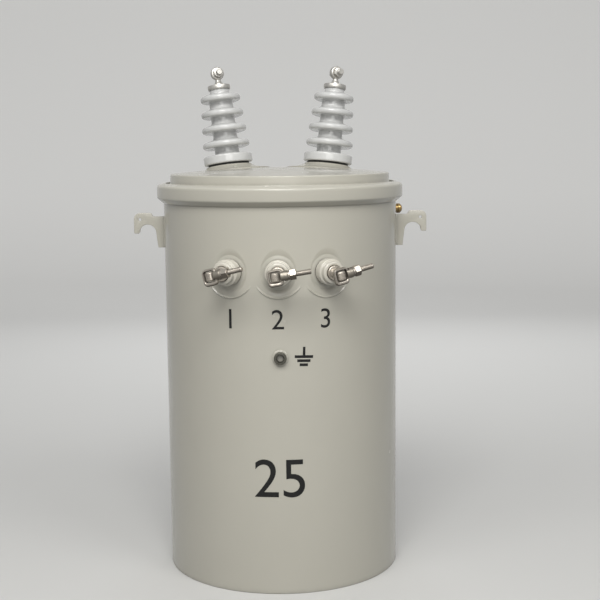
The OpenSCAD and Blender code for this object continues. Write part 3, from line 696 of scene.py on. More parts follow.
def build_tint_group():
    """Slight changes of a colour's value from place to place."""
    group, entry, result = new_group(
        "Tint drift",
        [("Colour", "colour", (0.5, 0.5, 0.5, 1)), ("Vector", "vector", None), ("Scale", "float", 9.0),
         ("Amount", "float", 0.06)],
        [("Colour", "colour")])
    w = Wiring(group)
    drift = w.noise(entry.outputs["Vector"], entry.outputs["Scale"], detail=4.0, roughness=0.6)
    value = w.spread(drift, 0.3, 0.7, w.maths("SUBTRACT", 1.0, entry.outputs["Amount"]),
                     w.maths("ADD", 1.0, entry.outputs["Amount"]))
    hue = group.nodes.new("ShaderNodeHueSaturation")
    w.put(hue.inputs["Value"], value)
    w.put(hue.inputs["Color"], entry.outputs["Colour"])
    w.put(result.inputs["Colour"], hue.outputs["Color"])
    return group


def new_finish(name):
    """A material with its shader and wiring."""
    material = bpy.data.materials.new(name)
    material.use_nodes = True
    shader = material.node_tree.nodes["Principled BSDF"]
    return material, shader, Wiring(material.node_tree)


def rgba(colour):
    """A colour property as four numbers."""
    return (colour[0], colour[1], colour[2], 1.0)


class Finishes:
    """All materials, made once from the settings."""

    def __init__(self, settings):
        self.grain = build_grain_group()
        self.soiling_and_shade = build_soiling_and_shade_group()
        self.tint = build_tint_group()
        self.paint = self.enamel("enamel", settings.paint, settings.paint_gloss)
        self.grey_porcelain = self.glaze("grey_glaze", settings.grey_glaze, 0.035)
        self.cream_porcelain = self.glaze("cream_glaze", settings.cream_glaze, 0.05)
        # Where a metal has an amount for faces that look down, it paints shade there; its corner amount
        # darkens inner corners, as grime and painted shade.
        self.tinned = self.metal("tinned_bronze", settings.tinned, 0.31, dirt_and_shade=0.80, underside_shade=0.85)
        # The studs' finish: the tinned colour made lighter, as painted light.
        self.painted_light_tin = self.metal("painted_light_tin", settings.painted_light_tin, 0.27, dirt_and_shade=0.80, underside_shade=0.60)
        self.dull_tin = self.metal("dull_tin", settings.dull_tin, 0.38, dirt_and_shade=0.5, reach=0.004, underside_shade=0.30)
        self.cast = self.metal("cast_bronze", settings.cast, 0.42, dirt_and_shade=0.80, underside_shade=0.70)
        self.steel = self.metal("plated_steel", settings.steel, 0.38, dirt_and_shade=0.7, reach=0.006)
        self.bare_steel = self.metal("bare_steel", settings.bare_steel, 0.36, dirt_and_shade=0.8, reach=0.008,
                                     underside_shade=0.30)
        self.brass = self.metal("brass", settings.brass, 0.24, dirt_and_shade=0.7, reach=0.006, underside_shade=0.75)
        self.seal = self.rubber("rubber", settings.rubber)
        self.numbers = self.lettering("lettering", settings.lettering)
        self.core = self.metal("core_steel", settings.core, 0.6, dirt_and_shade=0.4, reach=0.01)

    def enamel(self, name, colour, gloss):
        """Glossy enamel with orange peel, sheet-metal waves, a little dust, and grime with painted shade in
        inner corners.
        """
        material, shader, w = new_finish(name)
        here = place_vector(w)
        grain = w.group(self.grain, Vector=here, Fine_scale=330.0, Broad_scale=11.0, Broad_share=5.0)
        tint = w.group(self.tint, Colour=rgba(colour), Vector=here, Scale=7.0, Amount=0.012)
        # Inner corners darken, as grime and painted shade (beneath the band's leg, for one); dust lies on
        # level faces.
        soiled_and_shaded = w.group(self.soiling_and_shade, Colour=tint.outputs["Colour"], Vector=here, Reach=0.012,
                         Dirt_colour=(0.10, 0.09, 0.07, 1), Dirt=0.42,
                         Dust_colour=(0.46, 0.44, 0.40, 1), Dust=0.04)
        w.put(shader.inputs["Base Color"], soiled_and_shaded.outputs["Colour"])
        smear = w.noise(here, 16.0, detail=5.0, roughness=0.65)
        rough = w.spread(smear, 0.35, 0.75, gloss - 0.02, gloss + 0.04)
        rough = w.maths("ADD", rough, w.maths("MULTIPLY", soiled_and_shaded.outputs["Dust mask"], 0.5))
        w.put(shader.inputs["Roughness"], rough)
        w.put(shader.inputs["Normal"], w.bump(grain.outputs["Height"], strength=0.22, distance=0.00018))
        shader.inputs["Coat Weight"].default_value = 0.40
        shader.inputs["Coat Roughness"].default_value = 0.06
        return material

    def glaze(self, name, colour, amount):
        """Fired glaze over porcelain: clear, slightly uneven, with a few iron specks."""
        material, shader, w = new_finish(name)
        here = place_vector(w)
        tint = w.group(self.tint, Colour=rgba(colour), Vector=here, Scale=28.0, Amount=amount)
        specks = w.noise(here, 900.0, detail=2.0, roughness=0.5)
        speck = w.spread(specks, 0.74, 0.78, 0.0, 0.35)
        speckled = w.mix(speck, tint.outputs["Colour"], (0.20, 0.17, 0.13, 1))
        # Inner corners darken slightly, as grime and painted shade; dust lies on level faces.
        soiled_and_shaded = w.group(self.soiling_and_shade, Colour=speckled, Vector=here, Reach=0.010,
                         Dirt_colour=(0.22, 0.20, 0.17, 1), Dirt=0.08,
                         Dust_colour=(0.50, 0.48, 0.45, 1), Dust=0.08)
        w.put(shader.inputs["Base Color"], soiled_and_shaded.outputs["Colour"])
        grain = w.group(self.grain, Vector=here, Fine_scale=160.0, Broad_scale=30.0, Broad_share=1.5)
        rough = w.spread(grain.outputs["Fine"], 0.3, 0.7, 0.14, 0.24)
        rough = w.maths("ADD", rough, w.maths("MULTIPLY", soiled_and_shaded.outputs["Dust mask"], 0.8))
        w.put(shader.inputs["Roughness"], rough)
        w.put(shader.inputs["Normal"], w.bump(grain.outputs["Height"], strength=0.25, distance=0.00015))
        shader.inputs["Coat Weight"].default_value = 0.6
        shader.inputs["Coat Roughness"].default_value = 0.05
        return material

    def metal(self, name, colour, rough_base, dirt_and_shade, reach=0.005, underside_shade=0.0):
        """Cast or plated metal with a sandy skin, handling marks, and grime with painted shade in inner
        corners and painted shade on faces that look down.
        """
        material, shader, w = new_finish(name)
        here = place_vector(w)
        grain = w.group(self.grain, Vector=here, Fine_scale=1500.0, Broad_scale=240.0, Broad_share=1.2)
        tint = w.group(self.tint, Colour=rgba(colour), Vector=here, Scale=120.0, Amount=0.07)
        # Inner corners darken as grime and painted shade, and faces that look down take painted shade.
        soiled_and_shaded = w.group(self.soiling_and_shade, Colour=tint.outputs["Colour"], Vector=here, Reach=reach,
                         Dirt_colour=(0.05, 0.042, 0.035, 1), Dirt=dirt_and_shade,
                         Dust_colour=(0.40, 0.37, 0.32, 1), Dust=0.06, Underside=underside_shade)
        w.put(shader.inputs["Base Color"], soiled_and_shaded.outputs["Colour"])
        marks = w.noise(here, 420.0, detail=4.0, roughness=0.7)
        rough = w.spread(marks, 0.3, 0.7, rough_base - 0.06, rough_base + 0.09)
        rough = w.maths("ADD", rough, w.maths("MULTIPLY", soiled_and_shaded.outputs["Dirt and shade mask"], 0.35))
        w.put(shader.inputs["Roughness"], rough)
        w.put(shader.inputs["Metallic"], w.spread(soiled_and_shaded.outputs["Dirt and shade mask"], 0.0, 0.8, 1.0, 0.25))
        w.put(shader.inputs["Normal"], w.bump(grain.outputs["Height"], strength=0.20, distance=0.00010))
        return material

    def rubber(self, name, colour):
        """Black seal rubber with a dry bloom."""
        material, shader, w = new_finish(name)
        here = place_vector(w)
        grain = w.group(self.grain, Vector=here, Fine_scale=900.0, Broad_scale=60.0, Broad_share=0.8)
        bloom = w.spread(w.noise(here, 70.0, detail=4.0), 0.45, 0.8, 0.0, 0.35)
        w.put(shader.inputs["Base Color"], w.mix(bloom, rgba(colour), (0.07, 0.07, 0.068, 1)))
        w.put(shader.inputs["Roughness"], w.spread(grain.outputs["Fine"], 0.3, 0.7, 0.55, 0.75))
        w.put(shader.inputs["Normal"], w.bump(grain.outputs["Height"], strength=0.4, distance=0.0001))
        return material

    def lettering(self, name, colour):
        """Stencilled black enamel, a little thin in places."""
        material, shader, w = new_finish(name)
        here = place_vector(w)
        thin = w.spread(w.noise(here, 130.0, detail=4.0, roughness=0.6), 0.55, 0.85, 0.0, 0.10)
        w.put(shader.inputs["Base Color"], w.mix(thin, rgba(colour), (0.12, 0.12, 0.11, 1)))
        w.put(shader.inputs["Roughness"], w.spread(w.noise(here, 300.0), 0.3, 0.7, 0.50, 0.65))
        shader.inputs["Specular IOR Level"].default_value = 0.25
        return material


FINISHES = {}


def finishes():
    """The materials, made on first use."""
    if "all" not in FINISHES:
        FINISHES["all"] = Finishes(bpy.context.scene.transformer_finish)
    return FINISHES["all"]


# Operators


class TRANSFORMER_OT_stage(bpy.types.Operator):
    """Builds the floor, the lights and the camera"""

    bl_idname = "transformer.stage"
    bl_label = "Stage"

    def execute(self, context):
        settings = context.scene.transformer_stage
        self.build_floor(settings)
        self.build_world(context.scene, settings)
        self.build_lights(context.scene)
        self.build_camera(context.scene, settings)
        return {"FINISHED"}

    def seen_directly(self, wiring):
        """1 for the camera, mirrors and glass, and 0 for light that falls on the object."""
        rays = wiring.tree.nodes.new("ShaderNodeLightPath").outputs
        seen = wiring.maths("ADD", rays["Is Camera Ray"], rays["Is Glossy Ray"])
        return wiring.maths("ADD", seen, rays["Is Transmission Ray"], clamp=True)

    def build_floor(self, settings):
        """A floor that curves up into a backdrop, which glows a little more the further off it is."""
        near, far, high, bend, half_width = -4.2, 5.0, 5.5, 1.6, 6.0
        glow_start, glow_end, patch_shade = 0.3, 4.6, 0.9
        path = [(near, 0.0), (far - bend, 0.0)] + arc(far - bend, bend, bend, range(-85, 0, 5))
        path += [(far, bend), (far, high)]
        points = [(x, y, z) for y, z in path for x in (-half_width, half_width)]
        faces = [[2 * i, 2 * i + 1, 2 * i + 3, 2 * i + 2] for i in range(len(path) - 1)]
        mesh = bpy.data.meshes.new("floor")
        mesh.from_pydata(points, [], faces)
        for polygon in mesh.polygons:
            polygon.use_smooth = True
        material, shader, w = new_finish("floor")
        shader.inputs["Roughness"].default_value = 0.75
        shader.inputs["Specular IOR Level"].default_value = 0.2
        here = place_vector(w)
        patches = w.spread(w.noise(here, 2.5, detail=4.0), 0.3, 0.7, 0.0, 0.06)
        base = rgba(settings.floor)
        shaded = rgba([value * patch_shade for value in settings.floor])
        seen = self.seen_directly(w)
        w.put(shader.inputs["Base Color"], w.mix(seen, rgba(settings.bounce), w.mix(patches, base, shaded)))
        parts = w.tree.nodes.new("ShaderNodeSeparateXYZ")
        w.put(parts.inputs["Vector"], here)
        far_away = w.spread(parts.outputs["Y"], glow_start, glow_end, 0.0, settings.backdrop_glow)
        w.put(shader.inputs["Emission Color"], base)
        w.put(shader.inputs["Emission Strength"], w.maths("MULTIPLY", seen, far_away))
        mesh.materials.append(material)
        floor = bpy.data.objects.new("floor", mesh)
        bpy.context.scene.collection.objects.link(floor)

    def build_world(self, scene, settings):
        """An even light from all round, with its own brightness where it is seen."""
        world = bpy.data.worlds.new("studio")
        scene.world = world
        world.use_nodes = True
        w = Wiring(world.node_tree)
        background = world.node_tree.nodes["Background"]
        w.put(background.inputs["Color"], (1.0, 1.0, 1.0, 1.0))
        strength = w.spread(self.seen_directly(w), 0.0, 1.0, settings.ambient, settings.background)
        w.put(background.inputs["Strength"], strength)

    def build_lights(self, scene):
        """A broad soft key between two high side lights, a fill, and a back light that leaves no glint.

        Each has its name, place, the height it aims at, width, height, power and colour.
        """
        warm, cool = (1.0, 0.99, 0.97), (0.98, 0.99, 1.0)
        rig = [
            ("key", (-0.25, -3.5, 4.0), 0.45, 2.6, 2.0, 150.0, (1.0, 0.99, 0.965)),
            ("left", (-2.6, -2.8, 3.8), 0.45, 1.8, 1.8, 32.0, warm),
            ("right", (2.6, -2.8, 3.8), 0.45, 1.8, 1.8, 44.0, warm),
            ("fill", (0.5, -3.9, 1.80), 0.5, 2.4, 1.2, 24.0, warm),
            ("back", (0.2, 2.9, 2.0), 0.5, 2.6, 1.6, 30.0, cool),
        ]
        for name, place, aim, width, height, power, colour in rig:
            light = bpy.data.lights.new(name, "AREA")
            light.shape = "RECTANGLE"
            light.size, light.size_y = width, height
            light.energy = power
            light.color = colour
            lamp = bpy.data.objects.new(name, light)
            lamp.visible_camera = False
            lamp.visible_glossy = name != "back"
            lamp.location = place
            lamp.rotation_euler = (Vector((0, 0, aim)) - Vector(place)).to_track_quat("-Z", "Y").to_euler()
            scene.collection.objects.link(lamp)

    def build_camera(self, scene, settings):
        """The camera stands where the photograph's did, found from the tank's outline."""
        place, ahead = (0.0307, -2.4092, 0.8440), Vector((0.00295, 0.99148, -0.13019)).normalized()
        roll = math.radians(-0.5837)
        data = bpy.data.cameras.new("camera")
        data.lens = settings.lens
        data.sensor_width = 36.0
        data.clip_end = 50.0
        camera = bpy.data.objects.new("camera", data)
        right = ahead.cross(Vector((0, 0, 1))).normalized()
        up = right.cross(ahead)
        side = right * math.cos(roll) + up * math.sin(roll)
        top = up * math.cos(roll) - right * math.sin(roll)
        rotation = Matrix((side, top, -ahead)).transposed().to_4x4()
        camera.matrix_world = Matrix.Translation(place) @ rotation
        scene.collection.objects.link(camera)
        scene.camera = camera
        scene.view_settings.view_transform = "Standard"


# The closure: depth of the tank's flared rim and rise of its flare for each unit outward, and
# width and steepness of the sloped edge that the cover's rim and the band share
RIM_DEPTH = 0.014
RIM_FLARE = 0.85
KNEE_WIDTH = 0.012
KNEE_SLOPE = math.tan(math.radians(17))


def soft_max(one, two, blend):
    """The larger of two values, with a soft change over a blend."""
    share = max(0.0, blend - abs(one - two)) / blend
    return max(one, two) + share * share * blend / 4


def rim_corner(tank):
    """Radius and height of the lower edge of the tank's rim, where the flare ends."""
    return tank.rim_radius, tank.rim_height - RIM_DEPTH


class TRANSFORMER_OT_tank(bpy.types.Operator):
    """Builds the tank's shell with its pressed seats, flared rim and long weld"""

    bl_idname = "transformer.tank"
    bl_label = "Tank"

    def execute(self, context):
        tank, bushings = context.scene.transformer_tank, context.scene.transformer_bushings
        form = Form().add(self.shell(tank, bushings))
        make_piece("tank_shell", form, finishes().paint, ["tank_wall"], sharp=30.0)
        bead, sunk, foot, below_rim = 0.0028, 0.0012, 0.004, 0.026
        seam = round_tank(tank.seam_angle, tank.radius - sunk, 0)
        path = [seam @ Vector((0, 0, z)) for z in (foot, tank.rim_height - below_rim)]
        make_piece("tank_seam", Form().add(weld_bead(path, bead)), finishes().paint)
        return {"FINISHED"}

    def columns(self, bushings):
        """Angles round the tank, close together where the seats are."""
        margin, fine_step, coarse_step = 13.0, 0.24, 3.0
        edge = bushings.low_step + margin
        fine = round(2 * edge / fine_step)
        coarse = round((360 - 2 * edge) / coarse_step)
        front = [-edge + 2 * edge * k / fine for k in range(fine)]
        return front + [edge + (360 - 2 * edge) * k / coarse for k in range(coarse)]

    def outer_radius(self, tank, bushings, angle, height):
        """The wall's radius, which the flat seats and their dished edges cut into."""
        # Depth and width of the flat's hollow, bulge of its edge and softness where two forms meet
        dish, dish_width, bulge, soft = 0.0009, 0.006, 1.9, 0.0003
        # Height and width of the crease along the lower part of the edge, and where it ends and fades
        crease, crease_width, crease_reach, crease_fade = 0.0020, 0.0014, 60.0, 14.0
        # Angle past which a seat has no effect, and climb past its edge that leads it out of the wall
        near, runout = 0.4, 0.05
        rise = height - bushings.low_height
        flat = flat_radius(tank, tank.seat_radius)
        depth = tank.radius - flat + dish
        radius = tank.radius
        for step in TERMINALS.values():
            off = math.radians(angle - bushings.low_middle - step * bushings.low_step)
            if abs(off) > near:
                continue
            across = tank.radius * math.sin(off)
            away = math.hypot(across, rise) - tank.seat_radius
            left = max(0.0, 1 - away / tank.seat_edge)
            climb = depth * (1 - left ** bulge) + max(0.0, away - tank.seat_edge) * runout
            climb = soft_max(0.0, climb if away > 0 else away * bulge * depth / tank.seat_edge, soft)
            climb -= dish * min(1.0, max(0.0, 1 + away / dish_width))
            radius = -soft_max(-radius, -(flat + climb) / math.cos(off), soft)
            from_below = math.degrees(math.atan2(abs(across), -rise))
            share = min(1.0, max(0.0, (crease_reach - from_below) / crease_fade))
            radius += crease * share * math.exp(-((away - tank.seat_edge) / crease_width) ** 2)
        return radius

    def shell(self, tank, bushings):
        """Points and faces of the wall, from its foot up the outside and down the inside."""
        lower_rows, seat_rows, upper_rows = 30, 134, 8
        margin, foot, flare_foot, bend = 0.004, 0.0012, 0.0085, 0.003
        angles = self.columns(bushings)
        reach = tank.seat_radius + tank.seat_edge + margin
        seat_low, seat_top = bushings.low_height - reach, bushings.low_height + reach
        flare = rim_corner(tank)[1] - flare_foot
        heights = [foot + (seat_low - foot) * k / lower_rows for k in range(lower_rows)]
        heights += [seat_low + (seat_top - seat_low) * k / seat_rows for k in range(seat_rows)]
        heights += [seat_top + (flare - bend - seat_top) * k / upper_rows for k in range(upper_rows + 1)]
        outside = [(tank.radius - foot, 0.0)] + [(None, z) for z in heights]
        inner, mid_height = tank.radius - tank.wall, 0.40
        rim = rounded([
            (tank.radius, flare - bend), (tank.radius, flare, 0.004), (*rim_corner(tank), 0.0022),
            (tank.rim_radius, tank.rim_height, 0.001), (tank.radius - 0.002, tank.rim_height, 0.002),
            (inner, tank.rim_height - 0.006, 0.004), (inner, mid_height), (inner, foot), (inner + foot, 0.0)],
            steps=3)
        points = []
        for radius, height in outside + rim[1:]:
            for angle in angles:
                reach = self.outer_radius(tank, bushings, angle, height) if radius is None else radius
                turned = math.radians(angle - 90)
                points.append((reach * math.cos(turned), reach * math.sin(turned), height))
        return points, grid(len(outside) + len(rim) - 1, len(angles), wrap_rows=True)


class TRANSFORMER_OT_cover(bpy.types.Operator):
    """Builds the domed cover with its two raised and tilted seats"""

    bl_idname = "transformer.cover"
    bl_label = "Cover"

    def execute(self, context):
        tank, bushings = context.scene.transformer_tank, context.scene.transformer_bushings
        seats = Form()
        for side in SIDES.values():
            seats.add(lathe(self.seat(bushings), 160), high_frame(bushings, tank, side))
        dome = Form().add(lathe(self.section(tank), 220)).mesh("dome")
        joined = carved(dome, seats, "UNION")
        make_piece("cover_dome", joined, finishes().paint, ["cover"], sharp=38.0)
        return {"FINISHED"}

    def seat(self, bushings):
        """A raised seat from its foot up the long slope, steeper towards its flat top."""
        edge, width, height = bushings.raised_radius, bushings.slope_width, bushings.slope_height
        steps, steeper, lip = 22, 1.6, 0.0016
        path = [(0.0, -2 * height), (edge + width, -2 * height)]
        for k in range(steps, 0, -1):
            share = k / steps
            path.append((edge + width * share, -lip - (height - lip) * (1 - (1 - share) ** steeper)))
        return path + [(edge + 0.0006, -0.0012), (edge - 0.0002, -0.0004), (edge - 0.0016, 0.0), (0.0, 0.0)]

    def section(self, tank):
        """The cover's outline from its crown out over the shoulder and down to its seal."""
        dome_rings, shoulder_bend, below_rim_top, seal = 66, 0.006, 0.011, 0.003
        edge, top = tank.shoulder_radius, tank.crown - tank.dome_rise
        inner = edge - shoulder_bend
        sphere = (inner ** 2 + tank.dome_rise ** 2) / (2 * tank.dome_rise)
        dome = [(r, tank.crown - sphere + math.sqrt(sphere ** 2 - r * r))
                for r in (inner * k / dome_rings for k in range(dome_rings))]
        rim_top, rim_low = tank.rim_height + below_rim_top, tank.rim_height + seal
        side = rounded([
            (inner, top), (edge, top, shoulder_bend), (edge, rim_top, 0.0035),
            (tank.rim_radius - KNEE_WIDTH, rim_top, 0.004),
            (tank.rim_radius, rim_top - KNEE_WIDTH * KNEE_SLOPE, 0.003),
            (tank.rim_radius, rim_low, 0.001), (0.0, rim_low)], steps=6)
        return dome + side


class TRANSFORMER_OT_clamp_band(bpy.types.Operator):
    """Builds the band that clamps the cover, with its ears and bolt"""

    bl_idname = "transformer.clamp_band"
    bl_label = "Clamp band"

    joint: bpy.props.FloatProperty(
        name="Joint", description="Angle round the tank of the band's joint, in degrees", default=-150.0)
    thickness: bpy.props.FloatProperty(
        name="Thickness", description="Thickness of the band's sheet", default=0.0025, unit="LENGTH")
    slack: bpy.props.FloatProperty(
        name="Slack", description="Gap between the rims and the band", default=0.0003, unit="LENGTH")
    ear_reach: bpy.props.FloatProperty(
        name="Ear reach", description="Outward reach of the ears", default=0.030, unit="LENGTH")
    ear_thickness: bpy.props.FloatProperty(
        name="Ear thickness", description="Thickness of the ears", default=0.008, unit="LENGTH")
    ear_offset: bpy.props.FloatProperty(
        name="Ear offset", description="Distance of an ear's middle from the joint", default=0.014,
        unit="LENGTH")
    ear_drop: bpy.props.FloatProperty(
        name="Ear drop", description="Depth of the ears' middle below the tank's rim", default=0.0041,
        unit="LENGTH")

    def execute(self, context):
        tank = context.scene.transformer_tank
        outer = tank.rim_radius + self.thickness + self.slack
        middle = tank.rim_height - self.ear_drop
        form = Form().add(self.channel(tank, outer))
        self.add_ears(form, outer, middle)
        make_piece("closing_band", form, finishes().paint, ["clamp_band"], sharp=32.0)
        self.build_bolt(outer, middle)
        return {"FINISHED"}

    def channel(self, tank, outer):
        """The band's section carried round the tank, open at its joint."""
        half_gap, steps, lip, top, leg_gap = 0.008, 220, 0.014, 0.0138, 0.0015
        high, knee, leg = tank.rim_height + top, tank.rim_radius - KNEE_WIDTH, tank.radius + leg_gap
        section = sheet([
            (tank.rim_radius - lip, high, 0), (knee, high, 0.006),
            (outer, high - (outer - knee) * KNEE_SLOPE, 0.006), (outer, self.leg_height(tank, outer), 0.005),
            (leg, self.leg_height(tank, leg), 0)], self.thickness, 0.0009)
        gap = math.degrees(half_gap / outer)
        points = []
        for k in range(steps + 1):
            angle = math.radians(self.joint + gap + (360 - 2 * gap) * k / steps - 90)
            points += [(r * math.cos(angle), r * math.sin(angle), z) for r, z in section]
        size = len(section)
        ends = [list(range(size))[::-1], list(range(steps * size, (steps + 1) * size))]
        return points, grid(steps + 1, size) + ends

    def leg_height(self, tank, radius):
        """Height of the outer face of the band's leg, which lies along the flare of the tank's rim."""
        corner, low = rim_corner(tank)
        return low + (radius - corner) * RIM_FLARE - (self.thickness + self.slack) * math.hypot(1, RIM_FLARE)

    def add_ears(self, form, outer, middle):
        """The two ears at the joint, each welded on along both of its faces."""
        tall, edge, bead, lift, run = 0.015, 0.0015, 0.0018, 0.0002, 0.007
        weld = self.ear_thickness / 2 + lift
        for side in (-1, 1):
            root = round_tank(self.joint, outer, middle) @ shift(0, side * self.ear_offset, 0)
            ear = root @ shift((self.ear_reach - self.thickness) / 2, 0, 0)
            form.add(block((self.ear_reach, self.ear_thickness, tall), ear, edge))
            for face in (-weld, weld):
                form.add(weld_bead([root @ Vector((lift, face, z)) for z in (-run, run)], bead))

    def build_bolt(self, outer, middle):
        """The bolt through the band's ears, with its head, washer and nut."""
        flats, head, nut, washer, rim, edge = 0.016, 0.007, 0.008, 0.0015, 0.0098, 0.0004
        grip = self.ear_offset + self.ear_thickness / 2
        along = round_tank(self.joint, outer + self.ear_reach / 2, middle) @ RIGHTWARD
        ring = rounded([(0, 0), (rim, 0, edge), (rim, washer, edge), (0, washer)])
        form = Form().add(hexagon(flats, head), along @ shift(0, 0, -grip - head))
        form.add(lathe(ring, 48), along @ shift(0, 0, grip))
        form.add(hexagon(flats, nut), along @ shift(0, 0, grip + washer))
        shaft = threaded(radius=0.005, length=0.069, pitch=0.0015, segments=28)
        form.add(shaft, along @ shift(0, 0, -grip))
        make_piece("closing_bolt", form, finishes().steel, ["band_bolt"])


class TRANSFORMER_OT_lifting_lugs(bpy.types.Operator):
    """Builds the two hooked lifting lugs and their welds"""

    bl_idname = "transformer.lifting_lugs"
    bl_label = "Lifting lugs"

    top: bpy.props.FloatProperty(
        name="Top", description="Height of the lugs' top edge", default=LUG_HIGH[2], unit="LENGTH")

    def outline(self, reach):
        """The lug's outline, outward from the wall and down from its top edge."""
        foot, hook_low, shelf, inset = LUG_LOW[2] - LUG_HIGH[2], -0.041, -0.007, -0.0006
        stem, lean, tip, crown, corner, chamfer = 0.014, 0.0035, 0.0105, 0.023, 0.012, 0.0015
        inside = reach - tip
        arch = (inside - stem - lean) / 2
        spring = -crown - arch
        path = [(inset, foot), (stem, foot), (stem + lean, spring)]
        path += arc(inside - arch, spring, arch, range(170, 0, -10))
        path += [(inside, spring), (inside, hook_low + chamfer), (inside + chamfer, hook_low),
                 (reach - chamfer, hook_low), (reach, hook_low + chamfer), (reach, -corner)]
        path += arc(reach - corner, -corner, corner, range(10, 90, 10))
        path += [(reach - corner, 0.0), (0.0285, 0.0), (0.0268, -0.0012), (0.0240, -0.0056), (0.0220, shelf),
                 (inset, shelf)]
        return path

    def execute(self, context):
        tank = context.scene.transformer_tank
        thickness, edge = LUG_HIGH[1] - LUG_LOW[1], 0.0009
        bead, lift, proud, weld_low, weld_high = 0.0026, 0.0006, 0.0003, -0.0685, -0.0075
        outline, hole = self.outline(LUG_HIGH[0] - tank.radius), circle(0.003, 20, 0.0495, -0.013)
        for name, side in SIDES.items():
            place = round_tank(side * 90, tank.radius, self.top) @ turn("X", 90)
            form = Form().add(plate([outline, hole], thickness, edge), place)
            for face in (-thickness / 2 - proud, thickness / 2 + proud):
                rim = [place @ Vector((lift, z, face)) for z in (weld_low, weld_high)]
                form.add(weld_bead(rim, bead))
            make_piece("lug_" + name, form, finishes().paint, ["lift_lug_" + name], sharp=35.0)
        return {"FINISHED"}


class TRANSFORMER_OT_pole_brackets(bpy.types.Operator):
    """Builds the two folded pole brackets with their slots and welds"""

    bl_idname = "transformer.pole_brackets"
    bl_label = "Pole brackets"

    thickness: bpy.props.FloatProperty(
        name="Thickness", description="Thickness of the brackets' plate", default=0.006, unit="LENGTH")

    def execute(self, context):
        tank = context.scene.transformer_tank
        bead, lift, half_run, proud = 0.0028, 0.0008, 0.044, 0.0002
        for name in ("upper", "lower"):
            height = node_height("hanger_" + name)
            form = Form().add(shell_of(self.folded(tank, height)))
            for side in (-1, 1):
                for face in (BRACKET_HIGH[0] + proud, BRACKET_HIGH[0] - self.thickness - proud):
                    wall = flat_radius(tank, face) + lift
                    run = [(side * face, wall, height + z) for z in (-half_run, half_run)]
                    form.add(weld_bead(run, bead))
            make_piece("bracket_" + name, form, finishes().paint, ["hanger_" + name], sharp=35.0)
        return {"FINISHED"}

    def folded(self, tank, height):
        """A channel with rounded folds, cut by the slot for the pole bolt."""
        half, back, thick, bend, edge = BRACKET_HIGH[0], BRACKET_HIGH[1], self.thickness, 0.009, 0.0010
        slot_straight, slot_radius = 0.011, 0.00875
        outer_end, inner_end = flat_radius(tank, half), flat_radius(tank, half - thick)
        corners = [(half, outer_end), (half, back, bend), (-half, back, bend), (-half, outer_end),
                   (-half + thick, inner_end), (-half + thick, back - thick, bend - thick),
                   (half - thick, back - thick, bend - thick), (half - thick, inner_end)]
        walls = plate([rounded(corners, loop=True, steps=6)], BRACKET_HIGH[2] - BRACKET_LOW[2], edge)
        slot = arc(0, slot_straight, slot_radius, range(0, 181, 12))
        slot += [(x, -z) for x, z in reversed(slot)]
        across = shift(0, back - thick / 2, height) @ turn("X", 90)
        cutter = Form().add(plate([slot], thickness=0.05, edge=0.00005), across)
        return carved(Form().add(walls, shift(0, 0, height)).mesh("channel"), cutter)


